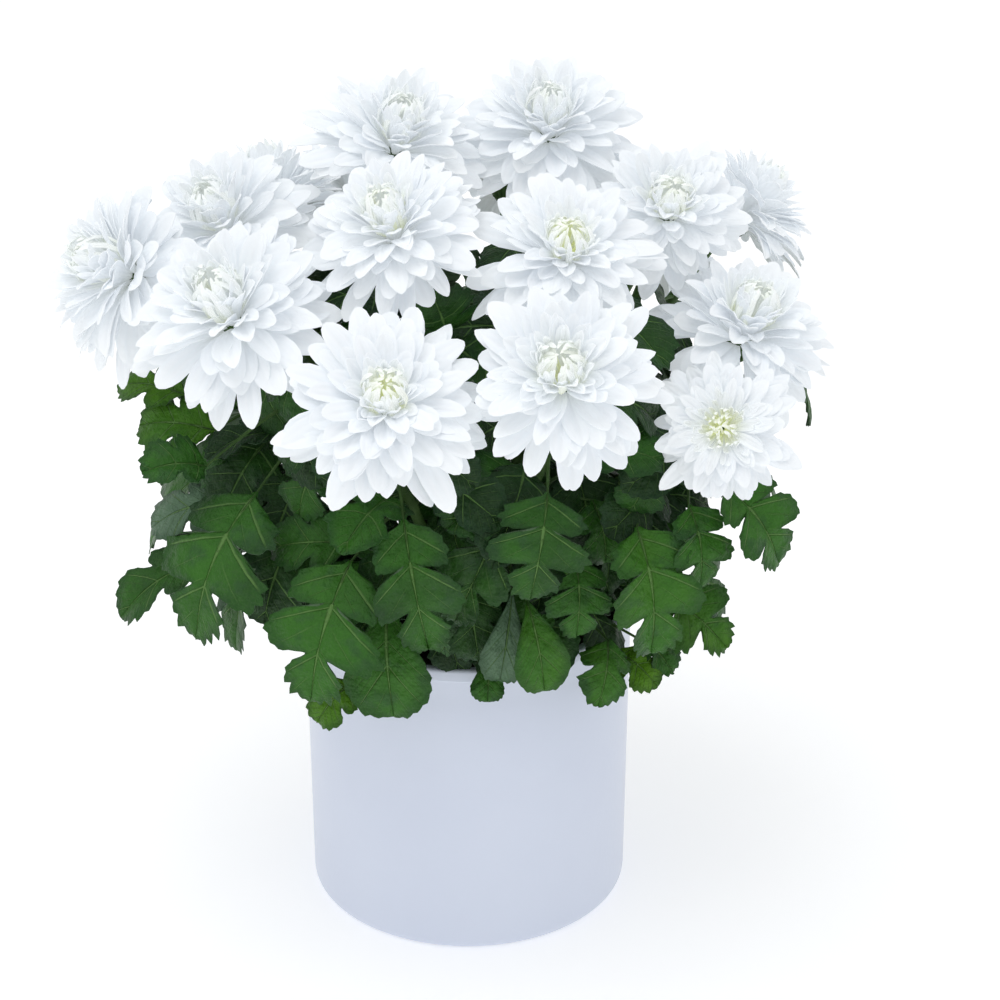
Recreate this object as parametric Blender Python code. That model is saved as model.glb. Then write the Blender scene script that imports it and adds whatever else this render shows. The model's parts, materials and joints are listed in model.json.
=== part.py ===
"""Potted white chrysanthemum.

A round ceramic pot filled with soil, eighteen leafy stems standing in plain holes in the soil,
and one layered white bloom resting on the calyx of each stem.

Units are metres, +Z is up, and the origin is the centre of the pot's flat base. -Y is the front.
"""

import itertools
import math
import random

import bmesh
import bpy
from mathutils import Matrix, Vector
from mathutils.bvhtree import BVHTree

MM = 0.001

# Clearance between meshes that rest on each other, and distance at which cut corners are welded
GAP = 0.3 * MM
WELD = 0.01 * MM

# Pot
POT_SIDES = 36
POT_HEIGHT = 162 * MM
POT_BASE_RADIUS = 80.5 * MM
POT_RIM_RADIUS = 82.6 * MM
POT_WALL = 4.5 * MM
POT_FLOOR = 6 * MM
POT_EDGE_ROUND = 5.5 * MM
POT_EDGE_ANGLES = (0, 45, 90)
LIP_HEIGHT = 6.5 * MM
LIP_PROUD = 0.6 * MM
LIP_BEVEL = 0.6 * MM

# Soil. Its slope is given as (share of the top's radius, share of the mound's height).
SOIL_TOP = 148 * MM
SOIL_MOUND = 3 * MM
SOIL_SLOPE = ((0.72, 0.6), (0.34, 1.0))
HOLE_DEPTH = 27 * MM
HOLE_PLAY = 0.5 * MM

# Stems, each with a calyx flaring out under its bloom
STEM_SIDES = 5
STEM_SEGMENTS = 5
STEM_RADIUS = 2.7 * MM
STEM_TOP_RADIUS = 2.3 * MM
STEM_SPREAD = 0.27
STEM_RISE = 55 * MM
STEM_NECK = 50 * MM
STEM_GROUND = 5 * MM
CALYX_DEPTH = 9 * MM
CALYX_RADIUS = 8 * MM
CALYX_RINGS = ((0.35, 0.8), (0.0, 1.0))

# Stretch of a stem that carries leaves, and the number of places tried along it
LEAFY_START = 0.08
LEAFY_SHARE = 0.82
LEAFY_STEPS = 40

# Blooms, drawn at a reference radius and scaled to each bloom's own. A large one has more petals.
LARGE_BLOOM = 42 * MM
LARGE_BLOOM_SIDES = 8
SMALL_BLOOM_SIDES = 7
BLOOM_REFERENCE = 46 * MM
CORE_RINGS = ((9.0 * MM, 0.0), (12.5 * MM, 8.0 * MM), (8.0 * MM, 17.0 * MM))
CORE_TOP = 21 * MM
PETAL_WIDTH = 16.5 * MM
PETAL_TIP_WIDTH = 8 * MM
PETAL_KEEL = 1.5 * MM
PETAL_TIP_KEEL = 1.1 * MM
CROWN_TIP_WIDTH = 5.5 * MM
BLOOM_CENTRE = 0.35
BLOOM_CLEARANCE = 0.8 * MM

# Petals of one band of the core: (elevation, length share, sag) of the lower and the upper petals.
# The crown's petals rise from a share of the last ring's radius.
OUTER_BAND = ((-8, 1.00, 0.10), (8, 1.00, 0.08))
INNER_BAND = ((24, 0.90, 0.05), (40, 0.74, 0.02))
CROWN = (60, 0.46)
CROWN_ROOT = 0.7

# Where a petal is widest, how far its tip droops as a share of its sag, and how much petals differ
PETAL_WIDEST = 0.56
PETAL_TIP_DROOP = 0.4
ELEVATION_PLAY = 3
AZIMUTH_PLAY = 4
SHORTEST_REACH = 0.92

# A petal that reaches a neighbouring bloom is shortened by this factor, at most so many times
PETAL_SHORTENING = 0.93
SHORTENING_STEPS = 16

# Leaves
BLADE_THICKNESS = 0.9 * MM
PETIOLE_WIDTH = 2.2 * MM
PETIOLE_THICKNESS = 1.7 * MM
LEAF_CLEARANCE = 0.9 * MM
BLADE_ARCH = 0.16

# How far a blade turns its face up rather than outwards, how far its halves lift and then curl
# down, the least sideways part of a petiole's flat side, and how far under a blade its stalk starts
BLADE_UPTURN = 0.8
BLADE_LIFT = 0.14
BLADE_CURL = 0.26
LEAST_SIDEWAYS = 0.4
STALK_DROP = 12 * MM

# Each bloom: seat on its calyx (x, y, z), azimuth and tilt it faces (degrees), radius; in mm
BLOOMS = {
    "front_left": (-36, -125, 317, -85, 40, 49),
    "front_right": (45, -122, 330, -95, 46, 44),
    "right_low": (120, -88, 292, -102, 58, 34),
    "right": (130, -22, 306, -55, 24, 43),
    "far_right": (132, 75, 330, 15, 42, 38),
    "upper_right": (96, 12, 356, -85, 40, 38),
    "centre_right": (46, -45, 356, -83, 32, 44),
    "centre_left": (-30, -50, 368, -118, 30, 42),
    "top": (40, 60, 378, -90, 10, 43),
    "top_left": (-36, 38, 378, 140, 5, 40),
    "left": (-104, -66, 335, -115, 38, 50),
    "upper_left": (-112, 20, 344, -155, 28, 41),
    "upper_middle": (-95, 72, 334, 120, 24, 38),
    "far_left": (-155, -8, 335, -165, 68, 41),
    "back_far_left": (-128, 98, 288, 142, 60, 37),
    "back_left": (-60, 130, 318, 113, 48, 41),
    "back": (20, 140, 322, 82, 46, 41),
    "back_right": (95, 125, 296, 50, 56, 39),
}

# Leaves whose place the photograph shows: blade base, blade tip and blade width; in mm.
# Those narrower than NARROW_LEAF have the simpler outline.
NARROW_LEAF = 31
FRONT_LEAVES = (
    ((-98, -75, 254), (-127, -100, 189), 58),
    ((-126, -50, 205), (-167, -60, 179), 30),
    ((-122, -70, 265), (-151, -80, 267), 26),
    ((-121, -30, 265), (-158, -20, 263), 34),
    ((-109, -45, 235), (-153, -35, 215), 30),
    ((-135, -20, 279), (-169, -5, 277), 26),
    ((-53, -105, 233), (-72, -125, 170), 54),
    ((-54, -98, 165), (-71, -104, 146), 26),
    ((-37, -85, 205), (-34, -108, 152), 42),
    ((-28, -112, 258), (-17, -124, 198), 40),
    ((20, -100, 258), (-5, -110, 204), 34),
    ((38, -110, 271), (30, -125, 224), 44),
    ((52, -85, 223), (52, -95, 188), 32),
    ((22, -85, 206), (16, -95, 164), 22),
    ((29, -92, 205), (37, -108, 166), 28),
    ((11, -85, 168), (10, -98, 154), 16),
    ((80, -90, 243), (87, -105, 185), 46),
    ((90, -70, 198), (124, -85, 176), 40),
    ((101, -80, 250), (105, -90, 211), 32),
    ((121, -80, 260), (147, -86, 222), 42),
    ((68, -75, 175), (63, -95, 150), 26),
    ((67, -70, 164), (85, -85, 151), 24),
    ((-54, -90, 235), (-91, -85, 230), 30),
    ((-67, -75, 266), (-78, -80, 238), 30),
    ((87, -80, 276), (77, -85, 249), 30),
    ((1, -78, 198), (6, -88, 165), 30),
    ((-12, -70, 213), (-10, -80, 175), 30),
    ((60, -65, 245), (66, -75, 217), 30),
    ((153, -20, 291), (165, -15, 261), 20),
    ((84, -60, 167), (100, -70, 154), 22),
)

# Rings of leaves round the sides and back: number, azimuths, blade base and tip as (radius, height).
# Each leaf leans to one side and stands higher or lower by chance.
LEAF_SEED = 11
SKIRT_LEAN = 10
SKIRT_RISE = (-6, 8)
SKIRT_RINGS = (
    (9, -8, 196, (88, 205), (124, 150), 50),
    (9, 2, 188, (112, 245), (156, 198), 50),
    (5, 30, 150, (122, 275), (162, 245), 38),
)

# Smaller leaves, one of each kind on every stem: place along the stem, swing away from the stem's
# own azimuth from stem to stem, blade length, blade width, slope of the petiole and of the blade.
# The swings are kept within a fan behind and beside the way the stem leans.
SMALL_LEAVES = (
    (0.60, 137.5, 50, 38, 12, -14),
    (0.30, 61.0, 48, 38, 22, -22),
)
SMALL_PETIOLE = 14
SMALL_FAN = 200
SMALL_SWING = 10

# Half outlines: (place along the blade, share of the half width), from the base to before the tip
LOBED_OUTLINE = (
    (0.00, 0.05),
    (0.12, 0.50),
    (0.26, 0.72),
    (0.34, 0.38),
    (0.46, 0.95),
    (0.64, 1.00),
    (0.64, 0.42),
    (0.84, 0.52),
)
LOBED_MIDRIB = ((0.10, 0), (0.34, 3), (0.62, 6))
SMALL_OUTLINE = (
    (0.00, 0.08),
    (0.22, 0.75),
    (0.44, 0.95),
    (0.48, 0.48),
    (0.74, 0.80),
)
SMALL_MIDRIB = ((0.18, 0), (0.50, 3))

# Changes tried, smallest first, until a leaf is clear of everything round it:
# size, height and droop in mm, and swing about the stem in degrees
LEAF_SHRINKS = (1.0, 0.88, 0.76, 0.64)
LEAF_RAISES = (0, 6, -6, 12, -12)
LEAF_DROOPS = (0, 9, -9)
LEAF_SWINGS = (0, 7, -7, 14, -14, 22, -22, 32, -32)

# What counts as one step away from the plan in each of those four ways
SHRINK_STEP = 0.1
RAISE_STEP = 7
DROOP_STEP = 9
SWING_STEP = 8

# Finishes: colour and roughness
FINISHES = {
    "pot_glaze": ((0.66, 0.69, 0.76), 0.35),
    "soil_peat": ((0.035, 0.022, 0.014), 0.95),
    "foliage": ((0.035, 0.13, 0.025), 0.5),
    "petals": ((0.86, 0.88, 0.9), 0.6),
}


def clear_scene():
    """Remove every object that the file starts with."""
    for item in list(bpy.data.objects):
        bpy.data.objects.remove(item, do_unlink=True)


def make_material(name):
    """Return the plain Principled material of one finish."""
    colour, roughness = FINISHES[name]
    material = bpy.data.materials.new(name)
    material.use_nodes = True
    shader = material.node_tree.nodes["Principled BSDF"]
    shader.inputs["Base Color"].default_value = (*colour, 1.0)
    shader.inputs["Roughness"].default_value = roughness
    shader.inputs["Metallic"].default_value = 0.0
    return material


def add_object(name, vertices, faces, material):
    """Make an object from lists of points and faces, with its faces turned outwards."""
    mesh = bpy.data.meshes.new(name)
    mesh.from_pydata([tuple(point) for point in vertices], [], faces)
    shape = bmesh.new()
    shape.from_mesh(mesh)
    bmesh.ops.recalc_face_normals(shape, faces=shape.faces)
    shape.to_mesh(mesh)
    shape.free()
    mesh.materials.append(material)
    item = bpy.data.objects.new(name, mesh)
    bpy.context.scene.collection.objects.link(item)
    return item


def lathe(profile, sides):
    """Turn (radius, height) points about Z. A profile that starts or ends on the axis is closed there."""
    vertices = []
    rings = []
    for radius, height in profile:
        if radius == 0.0:
            rings.append([len(vertices)])
            vertices.append(Vector((0, 0, height)))
            continue
        rings.append(list(range(len(vertices), len(vertices) + sides)))
        for index in range(sides):
            angle = math.tau * index / sides
            vertices.append(Vector((radius * math.cos(angle), radius * math.sin(angle), height)))
    faces = []
    for low, high in zip(rings, rings[1:]):
        for index in range(sides):
            after = (index + 1) % sides
            corners = [low[index % len(low)], low[after % len(low)]]
            corners += [high[after % len(high)], high[index % len(high)]]
            faces.append(list(dict.fromkeys(corners)))
    return vertices, faces


def boolean_mesh(item, collection, operation, solver):
    """Mesh of an object joined or cut with every object in a collection, and whether it is closed."""
    modifier = item.modifiers.new("join", "BOOLEAN")
    modifier.operand_type = "COLLECTION"
    modifier.collection = collection
    modifier.operation = operation
    modifier.solver = solver
    bpy.context.view_layer.update()
    evaluated = item.evaluated_get(bpy.context.evaluated_depsgraph_get())
    mesh = bpy.data.meshes.new_from_object(evaluated)
    item.modifiers.clear()
    shape = bmesh.new()
    shape.from_mesh(mesh)
    bmesh.ops.remove_doubles(shape, verts=shape.verts, dist=WELD)
    bmesh.ops.triangulate(shape, faces=shape.faces)
    closed = all(len(edge.link_faces) == 2 for edge in shape.edges)
    shape.to_mesh(mesh)
    shape.free()
    return mesh, closed


def apply_boolean(item, collection, operation):
    """Join or cut an object with every object in a collection, then remove those objects."""
    mesh, closed = boolean_mesh(item, collection, operation, "EXACT")
    if not closed:
        mesh = boolean_mesh(item, collection, operation, "MANIFOLD")[0]
    item.data = mesh
    for operand in list(collection.objects):
        bpy.data.objects.remove(operand, do_unlink=True)
    bpy.data.collections.remove(collection)


def move_to_new_collection(name, items):
    """Put objects into a collection of their own."""
    collection = bpy.data.collections.new(name)
    bpy.context.scene.collection.children.link(collection)
    for item in items:
        bpy.context.scene.collection.objects.unlink(item)
        collection.objects.link(item)
    return collection


def make_pot(material):
    """The pot: a flat base with a rounded edge, a slightly flaring wall and a band at the lip."""
    lip_bottom = POT_HEIGHT - LIP_HEIGHT
    wall_top_radius = POT_RIM_RADIUS - LIP_PROUD
    inner_top = wall_top_radius - POT_WALL
    inner_bottom = POT_BASE_RADIUS - POT_WALL
    profile = [(0.0, 0.0)]
    for angle in POT_EDGE_ANGLES:
        turn = math.radians(angle)
        radius = POT_BASE_RADIUS - POT_EDGE_ROUND * (1 - math.sin(turn))
        profile.append((radius, POT_EDGE_ROUND * (1 - math.cos(turn))))
    profile += [
        (wall_top_radius, lip_bottom),
        (POT_RIM_RADIUS, lip_bottom + LIP_BEVEL),
        (POT_RIM_RADIUS, POT_HEIGHT - LIP_BEVEL),
        (POT_RIM_RADIUS - LIP_BEVEL, POT_HEIGHT),
        (inner_top + LIP_BEVEL, POT_HEIGHT),
        (inner_top, POT_HEIGHT - LIP_BEVEL),
        (inner_bottom, POT_FLOOR + POT_EDGE_ROUND),
        (inner_bottom - POT_EDGE_ROUND, POT_FLOOR),
        (0.0, POT_FLOOR),
    ]
    vertices, faces = lathe(profile, POT_SIDES)
    return add_object("pot", vertices, faces, material)


def inner_radius(height):
    """Inner radius of the pot's wall at a height above its rounded inner corner."""
    bottom = POT_FLOOR + POT_EDGE_ROUND
    share = (height - bottom) / (POT_HEIGHT - LIP_BEVEL - bottom)
    low = POT_BASE_RADIUS - POT_WALL
    return low + share * (POT_RIM_RADIUS - LIP_PROUD - POT_WALL - low)


def make_soil(material, stem_feet):
    """The soil: it fills the pot, has a low mound, and a plain hole for each stem."""
    corner = POT_FLOOR + POT_EDGE_ROUND
    top_radius = inner_radius(SOIL_TOP) - GAP
    profile = [
        (0.0, POT_FLOOR + GAP),
        (inner_radius(corner) - POT_EDGE_ROUND - GAP, POT_FLOOR + GAP),
        (inner_radius(corner) - 2 * GAP, corner + GAP),
        (top_radius, SOIL_TOP),
    ]
    profile += [(share * top_radius, SOIL_TOP + rise * SOIL_MOUND) for share, rise in SOIL_SLOPE]
    profile.append((0.0, SOIL_TOP + SOIL_MOUND))
    vertices, faces = lathe(profile, POT_SIDES)
    soil = add_object("soil", vertices, faces, material)
    cutters = []
    top = SOIL_TOP + 2 * SOIL_MOUND
    for index, foot in enumerate(stem_feet):
        rings = []
        for height in (SOIL_TOP - HOLE_DEPTH, top):
            centre = Vector((foot.x, foot.y, height))
            rings.append((centre, Vector((0, 0, 1)), STEM_RADIUS + HOLE_PLAY))
        points, sides = tube(rings)
        cutters.append(add_object(f"hole_{index}", points, sides, material))
    apply_boolean(soil, move_to_new_collection("holes", cutters), "DIFFERENCE")
    return soil


def tube(rings):
    """A closed tube through rings given as (centre, axis, radius), without twist."""
    vertices = []
    across = Vector((1, 0, 0))
    for centre, axis, radius in rings:
        axis = axis.normalized()
        across = (across - axis * across.dot(axis)).normalized()
        beside = axis.cross(across)
        for index in range(STEM_SIDES):
            angle = math.tau * index / STEM_SIDES
            vertices.append(centre + radius * (math.cos(angle) * across + math.sin(angle) * beside))
    faces = []
    for ring in range(len(rings) - 1):
        low = ring * STEM_SIDES
        high = low + STEM_SIDES
        for index in range(STEM_SIDES):
            after = (index + 1) % STEM_SIDES
            faces.append([low + index, low + after, high + after, high + index])
    faces.append(list(range(STEM_SIDES)))
    last = (len(rings) - 1) * STEM_SIDES
    faces.append(list(range(last, last + STEM_SIDES)))
    return vertices, faces


class Bloom:
    """The seat, facing direction and size of one bloom."""

    def __init__(self, name, row):
        x, y, z, azimuth, tilt, radius = row
        self.name = name
        self.seat = Vector((x, y, z)) * MM
        self.radius = radius * MM
        self.facing = direction(azimuth, 90 - tilt)
        self.centre = self.seat + BLOOM_CENTRE * self.radius * self.facing


def direction(azimuth, elevation):
    """Unit vector at an azimuth and an elevation, in degrees."""
    turn = math.radians(azimuth)
    rise = math.radians(elevation)
    flat = math.cos(rise)
    return Vector((flat * math.cos(turn), flat * math.sin(turn), math.sin(rise)))


def bezier(points, place):
    """Point and tangent on a Bezier curve of any degree."""
    points = list(points)
    while len(points) > 2:
        points = [low.lerp(high, place) for low, high in zip(points, points[1:])]
    return points[0].lerp(points[1], place), (points[1] - points[0]).normalized()


class Stem:
    """The route of one stem, from its hole in the soil to the back of its bloom."""

    def __init__(self, bloom):
        self.bloom = bloom
        foot = bloom.seat * STEM_SPREAD
        self.foot = Vector((foot.x, foot.y, SOIL_TOP - HOLE_DEPTH + GAP))
        ground = Vector((foot.x, foot.y, SOIL_TOP + STEM_GROUND))
        neck = bloom.seat - CALYX_DEPTH * bloom.facing
        upright = Vector((0, 0, 1))
        self.route = (ground, ground + STEM_RISE * upright, neck - STEM_NECK * bloom.facing, neck)

    def point(self, place):
        """Point on the stem's straight segments, from 0 at the soil to 1 under the calyx."""
        segment = min(int(place * STEM_SEGMENTS), STEM_SEGMENTS - 1)
        low = bezier(self.route, segment / STEM_SEGMENTS)[0]
        high = bezier(self.route, (segment + 1) / STEM_SEGMENTS)[0]
        return low.lerp(high, place * STEM_SEGMENTS - segment)

    def rings(self):
        """Rings of the stem and of the calyx that flares out under the bloom."""
        rings = [(self.foot, Vector((0, 0, 1)), STEM_RADIUS)]
        for segment in range(STEM_SEGMENTS + 1):
            place = segment / STEM_SEGMENTS
            centre, axis = bezier(self.route, place)
            radius = STEM_RADIUS + place * (STEM_TOP_RADIUS - STEM_RADIUS)
            rings.append((centre, axis, radius))
        facing = self.bloom.facing
        size = self.bloom.radius / BLOOM_REFERENCE
        for back, width in CALYX_RINGS:
            centre = self.bloom.seat - back * CALYX_DEPTH * facing
            rings.append((centre, facing, width * size * CALYX_RADIUS))
        return rings

    def nearest(self, target):
        """Place on the stem closest to a point, within the stretch that carries leaves."""
        steps = [LEAFY_START + LEAFY_SHARE * index / LEAFY_STEPS for index in range(LEAFY_STEPS + 1)]
        return min(steps, key=lambda place: (self.point(place) - target).length)


class BloomBuilder:
    """Builds one bloom: a small core whose every side face is drawn out into a petal."""

    def __init__(self, bloom, neighbours, seed):
        self.bloom = bloom
        self.size = bloom.radius / BLOOM_REFERENCE
        self.sides = LARGE_BLOOM_SIDES if bloom.radius >= LARGE_BLOOM else SMALL_BLOOM_SIDES
        self.step = math.tau / self.sides
        self.planes = [self.dividing_plane(other) for other in neighbours]
        self.random = random.Random(seed)
        self.spin = self.random.uniform(0, self.step)
        self.frame = bloom.facing.to_track_quat("Z", "Y").to_matrix()
        self.origin = bloom.seat + GAP * bloom.facing
        self.vertices = []
        self.faces = []

    def dividing_plane(self, other):
        """Plane between this bloom and another one, shared out by their radii."""
        across = other.centre - self.bloom.centre
        share = self.bloom.radius / (self.bloom.radius + other.radius)
        normal = across.normalized()
        return self.bloom.centre + share * across - BLOOM_CLEARANCE * normal, normal

    def outside(self, point):
        """Whether a point lies beyond the plane towards a neighbour."""
        return any((point - base).dot(normal) > 0 for base, normal in self.planes)

    def place(self, angle, radius, height):
        """World point from polar coordinates about the bloom's axis."""
        turn = angle + self.spin
        local = Vector((radius * math.cos(turn), radius * math.sin(turn), height))
        return self.origin + self.frame @ (self.size * local)

    def add(self, point):
        """Store a point and return its number."""
        self.vertices.append(point)
        return len(self.vertices) - 1

    def ring(self, index):
        """Corner points of one ring of the core."""
        radius, height = CORE_RINGS[index]
        shift = 0.5 * (index % 2)
        corners = range(self.sides)
        return [self.add(self.place((shift + corner) * self.step, radius, height)) for corner in corners]

    def petal(self, root, angle, radius, height, elevation, reach, sag, keel_side, crown=False):
        """Draw a root triangle out into a petal with a keel. Root is (left, right, keel)."""
        elevation = math.radians(elevation + self.random.uniform(-ELEVATION_PLAY, ELEVATION_PLAY))
        angle += math.radians(self.random.uniform(-AZIMUTH_PLAY, AZIMUTH_PLAY))
        reach *= self.random.uniform(SHORTEST_REACH, 1.0)
        length = (reach * BLOOM_REFERENCE - radius) / math.cos(elevation)
        if crown:
            length = reach * BLOOM_REFERENCE
        stations = self.petal_stations(angle, radius, height, elevation, length, sag, keel_side, crown)
        last = root
        for corners in stations:
            numbers = [self.add(point) for point in corners]
            for low, high in ((0, 1), (1, 2), (2, 0)):
                self.faces.append([last[low], last[high], numbers[high]])
                self.faces.append([last[low], numbers[high], numbers[low]])
            last = numbers
        self.faces.append(last)

    def petal_stations(self, angle, radius, height, elevation, length, sag, keel_side, crown):
        """Sections of a petal, shortened until the petal is clear of the neighbouring blooms."""
        shapes = [
            (PETAL_WIDEST, sag, PETAL_WIDTH, PETAL_KEEL),
            (1.0, -PETAL_TIP_DROOP * sag, PETAL_TIP_WIDTH, PETAL_TIP_KEEL),
        ]
        if crown:
            shapes = [(1.0, 0.0, CROWN_TIP_WIDTH, PETAL_TIP_KEEL)]
        for _ in range(SHORTENING_STEPS):
            sections = []
            for along, lift, width, keel in shapes:
                out = radius + length * (along * math.cos(elevation) - lift * math.sin(elevation))
                up = height + length * (along * math.sin(elevation) + lift * math.cos(elevation))
                sections.append(self.section(angle, out, up, elevation, width, keel * keel_side))
            if not any(self.outside(point) for section in sections for point in section):
                break
            length *= PETAL_SHORTENING
        return sections

    def section(self, angle, out, up, elevation, width, keel):
        """Left, right and keel corners of a petal's section."""
        half = 0.5 * width
        spread = math.atan2(half, out)
        reach = math.hypot(out, half)
        keel_out = out - keel * math.sin(elevation)
        keel_up = up + keel * math.cos(elevation)
        left = self.place(angle - spread, reach, up)
        right = self.place(angle + spread, reach, up)
        return left, right, self.place(angle, keel_out, keel_up)

    def band(self, low_ring, high_ring, low_index, petals):
        """Petals drawn from the triangles between two rings of the core."""
        low_petal, high_petal = petals
        low_radius, low_height = CORE_RINGS[low_index]
        high_radius, high_height = CORE_RINGS[low_index + 1]
        for index in range(self.sides):
            after = (index + 1) % self.sides
            first = high_ring[(index + low_index) % self.sides]
            second = high_ring[(after + low_index) % self.sides]
            angle = self.step * (index + 0.5 + 0.5 * low_index)
            lower = (low_ring[index], low_ring[after], first)
            self.petal(lower, angle, low_radius, low_height, *low_petal, 1)
            upper = (first, second, low_ring[after])
            self.petal(upper, angle + 0.5 * self.step, high_radius, high_height, *high_petal, -1)

    def build(self, material):
        """Make the bloom's object."""
        rings = [self.ring(index) for index in range(len(CORE_RINGS))]
        self.faces.append(list(reversed(rings[0])))
        self.band(rings[0], rings[1], 0, OUTER_BAND)
        self.band(rings[1], rings[2], 1, INNER_BAND)
        summit = self.add(self.place(0, 0, CORE_TOP))
        elevation, reach = CROWN
        radius, height = CORE_RINGS[2]
        for index in range(self.sides):
            root = (rings[2][index], rings[2][(index + 1) % self.sides], summit)
            angle = self.step * (index + 0.5)
            start = CROWN_ROOT * radius
            self.petal(root, angle, start, height, elevation, reach, 0.0, 1, crown=True)
        return add_object(f"bloom_{self.bloom.name}", self.vertices, self.faces, material)


class LeafPlan:
    """Where one leaf grows and what it looks like: its stem, root, blade base and blade tip."""

    def __init__(self, stem, root, base, tip, width, small=False):
        self.stem = stem
        self.root = root
        self.base = base
        self.tip = tip
        self.width = width
        self.small = small

    def changed(self, shrink, raise_by, droop, swing):
        """The same leaf made smaller about its root, raised, drooped and swung about its stem."""
        turn = Matrix.Rotation(math.radians(swing), 3, "Z")
        up = Vector((0, 0, MM))
        base = self.root + turn @ (self.base - self.root + raise_by * up) * (0.5 + 0.5 * shrink)
        blade = turn @ (self.tip - self.base - droop * up) * shrink
        return LeafPlan(self.stem, self.root, base, base + blade, self.width * shrink, self.small)

    def frame(self):
        """Blade direction, the way its upper face looks, and its sideways direction."""
        chord = self.tip - self.base
        along = chord.normalized()
        outward = Vector((self.base.x, self.base.y, 0)).normalized() + Vector((0, 0, BLADE_UPTURN))
        facing = (outward - along * outward.dot(along)).normalized()
        return chord, facing, along.cross(facing).normalized()

    def surface(self, along, across):
        """Point of the blade and its normal, for a place along it and across it."""
        chord, facing, beside = self.frame()
        middle = self.base + 0.5 * chord + 2 * BLADE_ARCH * chord.length * facing
        point, heading = bezier((self.base, middle, self.tip), along)
        normal = beside.cross(heading).normalized()
        half = 0.5 * self.width
        lift = half * (BLADE_LIFT * abs(across) - BLADE_CURL * across * across)
        return point + beside * (across * half) + normal * lift, normal

    def plate(self, grow=0.0):
        """Points and faces of the whole leaf as a thin plate, split alike on both faces."""
        outline = SMALL_OUTLINE if self.small else LOBED_OUTLINE
        midrib = SMALL_MIDRIB if self.small else LOBED_MIDRIB
        widen = 1 + 2 * grow / self.width
        points = self.root_points(grow)
        for side in (-1, 1):
            for along, across in outline:
                thick = PETIOLE_THICKNESS if along == 0 else BLADE_THICKNESS
                points.append((*self.surface(along, side * across * widen), 0.5 * thick + grow))
        for along, _ in midrib:
            points.append((*self.surface(along, 0), 0.5 * BLADE_THICKNESS + grow))
        points.append((*self.surface(1.0, 0), 0.5 * BLADE_THICKNESS + grow))
        return two_faced(points, leaf_triangles(len(outline), midrib), leaf_border(len(outline)))

    def root_points(self, grow):
        """The two corners of the petiole inside the stem."""
        _, facing, beside = self.frame()
        heading = (self.base - self.root).normalized()
        across = beside - heading * beside.dot(heading)
        if across.length < LEAST_SIDEWAYS:
            across = facing - heading * facing.dot(heading)
        across.normalize()
        normal = across.cross(heading)
        if normal.dot(facing) < 0:
            normal.negate()
        reach = (0.5 * PETIOLE_WIDTH + grow) * across
        thick = 0.5 * PETIOLE_THICKNESS + grow
        return [(self.root - reach, normal, thick), (self.root + reach, normal, thick)]


def leaf_triangles(count, midrib):
    """Triangles of one face of a leaf. Points are the root pair, left side, right side, midrib, tip."""
    left = list(range(2, 2 + count))
    right = list(range(2 + count, 2 + 2 * count))
    ribs = list(range(2 + 2 * count, 2 + 2 * count + len(midrib)))
    tip = ribs[-1] + 1
    triangles = [(0, 1, right[0]), (0, right[0], left[0]), (left[0], right[0], ribs[0])]
    starts = [start for _, start in midrib] + [count]
    for number, rib in enumerate(ribs):
        for side, flip in ((right, False), (left, True)):
            edge = side[starts[number]:starts[number + 1] + 1]
            if number == len(ribs) - 1:
                edge = edge + [tip]
            fan = [(rib, low, high) for low, high in zip(edge, edge[1:])]
            if number < len(ribs) - 1:
                fan.append((rib, edge[-1], ribs[number + 1]))
            triangles += [corners[::-1] if flip else corners for corners in fan]
    return triangles


def leaf_border(count):
    """Border of a leaf in order: root, right side, tip, left side."""
    left = list(range(2, 2 + count))
    right = list(range(2 + count, 2 + 2 * count))
    return right, left[::-1]


def two_faced(points, triangles, border):
    """Give a sheet its thickness, with the same triangles on its upper and lower face."""
    count = len(points)
    upper = [point + half * normal for point, normal, half in points]
    lower = [point - half * normal for point, normal, half in points]
    right, left = border
    loop = [0, 1, *right, count - 1, *left]
    faces = [list(corners) for corners in triangles]
    faces += [[corner + count for corner in corners[::-1]] for corners in triangles]
    for first, second in zip(loop, loop[1:] + loop[:1]):
        faces.append([second, first, first + count])
        faces.append([second, first + count, second + count])
    return upper + lower, faces


def leaf_from_nearest(stems, base, tip, width, small=False):
    """A leaf that grows from the stem that passes closest under its blade."""
    target = base - Vector((0, 0, STALK_DROP))
    stem = min(stems, key=lambda item: (item.point(item.nearest(target)) - target).length)
    return LeafPlan(stem, stem.point(stem.nearest(target)), base, tip, width, small)


def ring_point(radius, azimuth, height):
    """Point on a ring round the pot's axis; millimetres and degrees."""
    turn = math.radians(azimuth)
    return Vector((radius * math.cos(turn), radius * math.sin(turn), height)) * MM


def plan_leaves(stems):
    """List every leaf: those the photograph shows, the rings round the back, the canopy."""
    plans = []
    for base, tip, width in FRONT_LEAVES:
        small = width < NARROW_LEAF
        base = Vector(base) * MM
        plans.append(leaf_from_nearest(stems, base, Vector(tip) * MM, width * MM, small))
    chance = random.Random(LEAF_SEED)
    for count, first, last, base, tip, width in SKIRT_RINGS:
        for index in range(count):
            azimuth = first + (last - first) * index / (count - 1)
            lean = chance.uniform(-SKIRT_LEAN, SKIRT_LEAN)
            rise = chance.uniform(*SKIRT_RISE)
            base_point = ring_point(base[0], azimuth, base[1] + rise)
            tip_point = ring_point(tip[0], azimuth + lean, tip[1] + rise)
            plans.append(leaf_from_nearest(stems, base_point, tip_point, width * MM))
    for row in SMALL_LEAVES:
        for index, stem in enumerate(stems):
            plans.append(small_leaf(stem, index, row, chance))
    return plans


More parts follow.
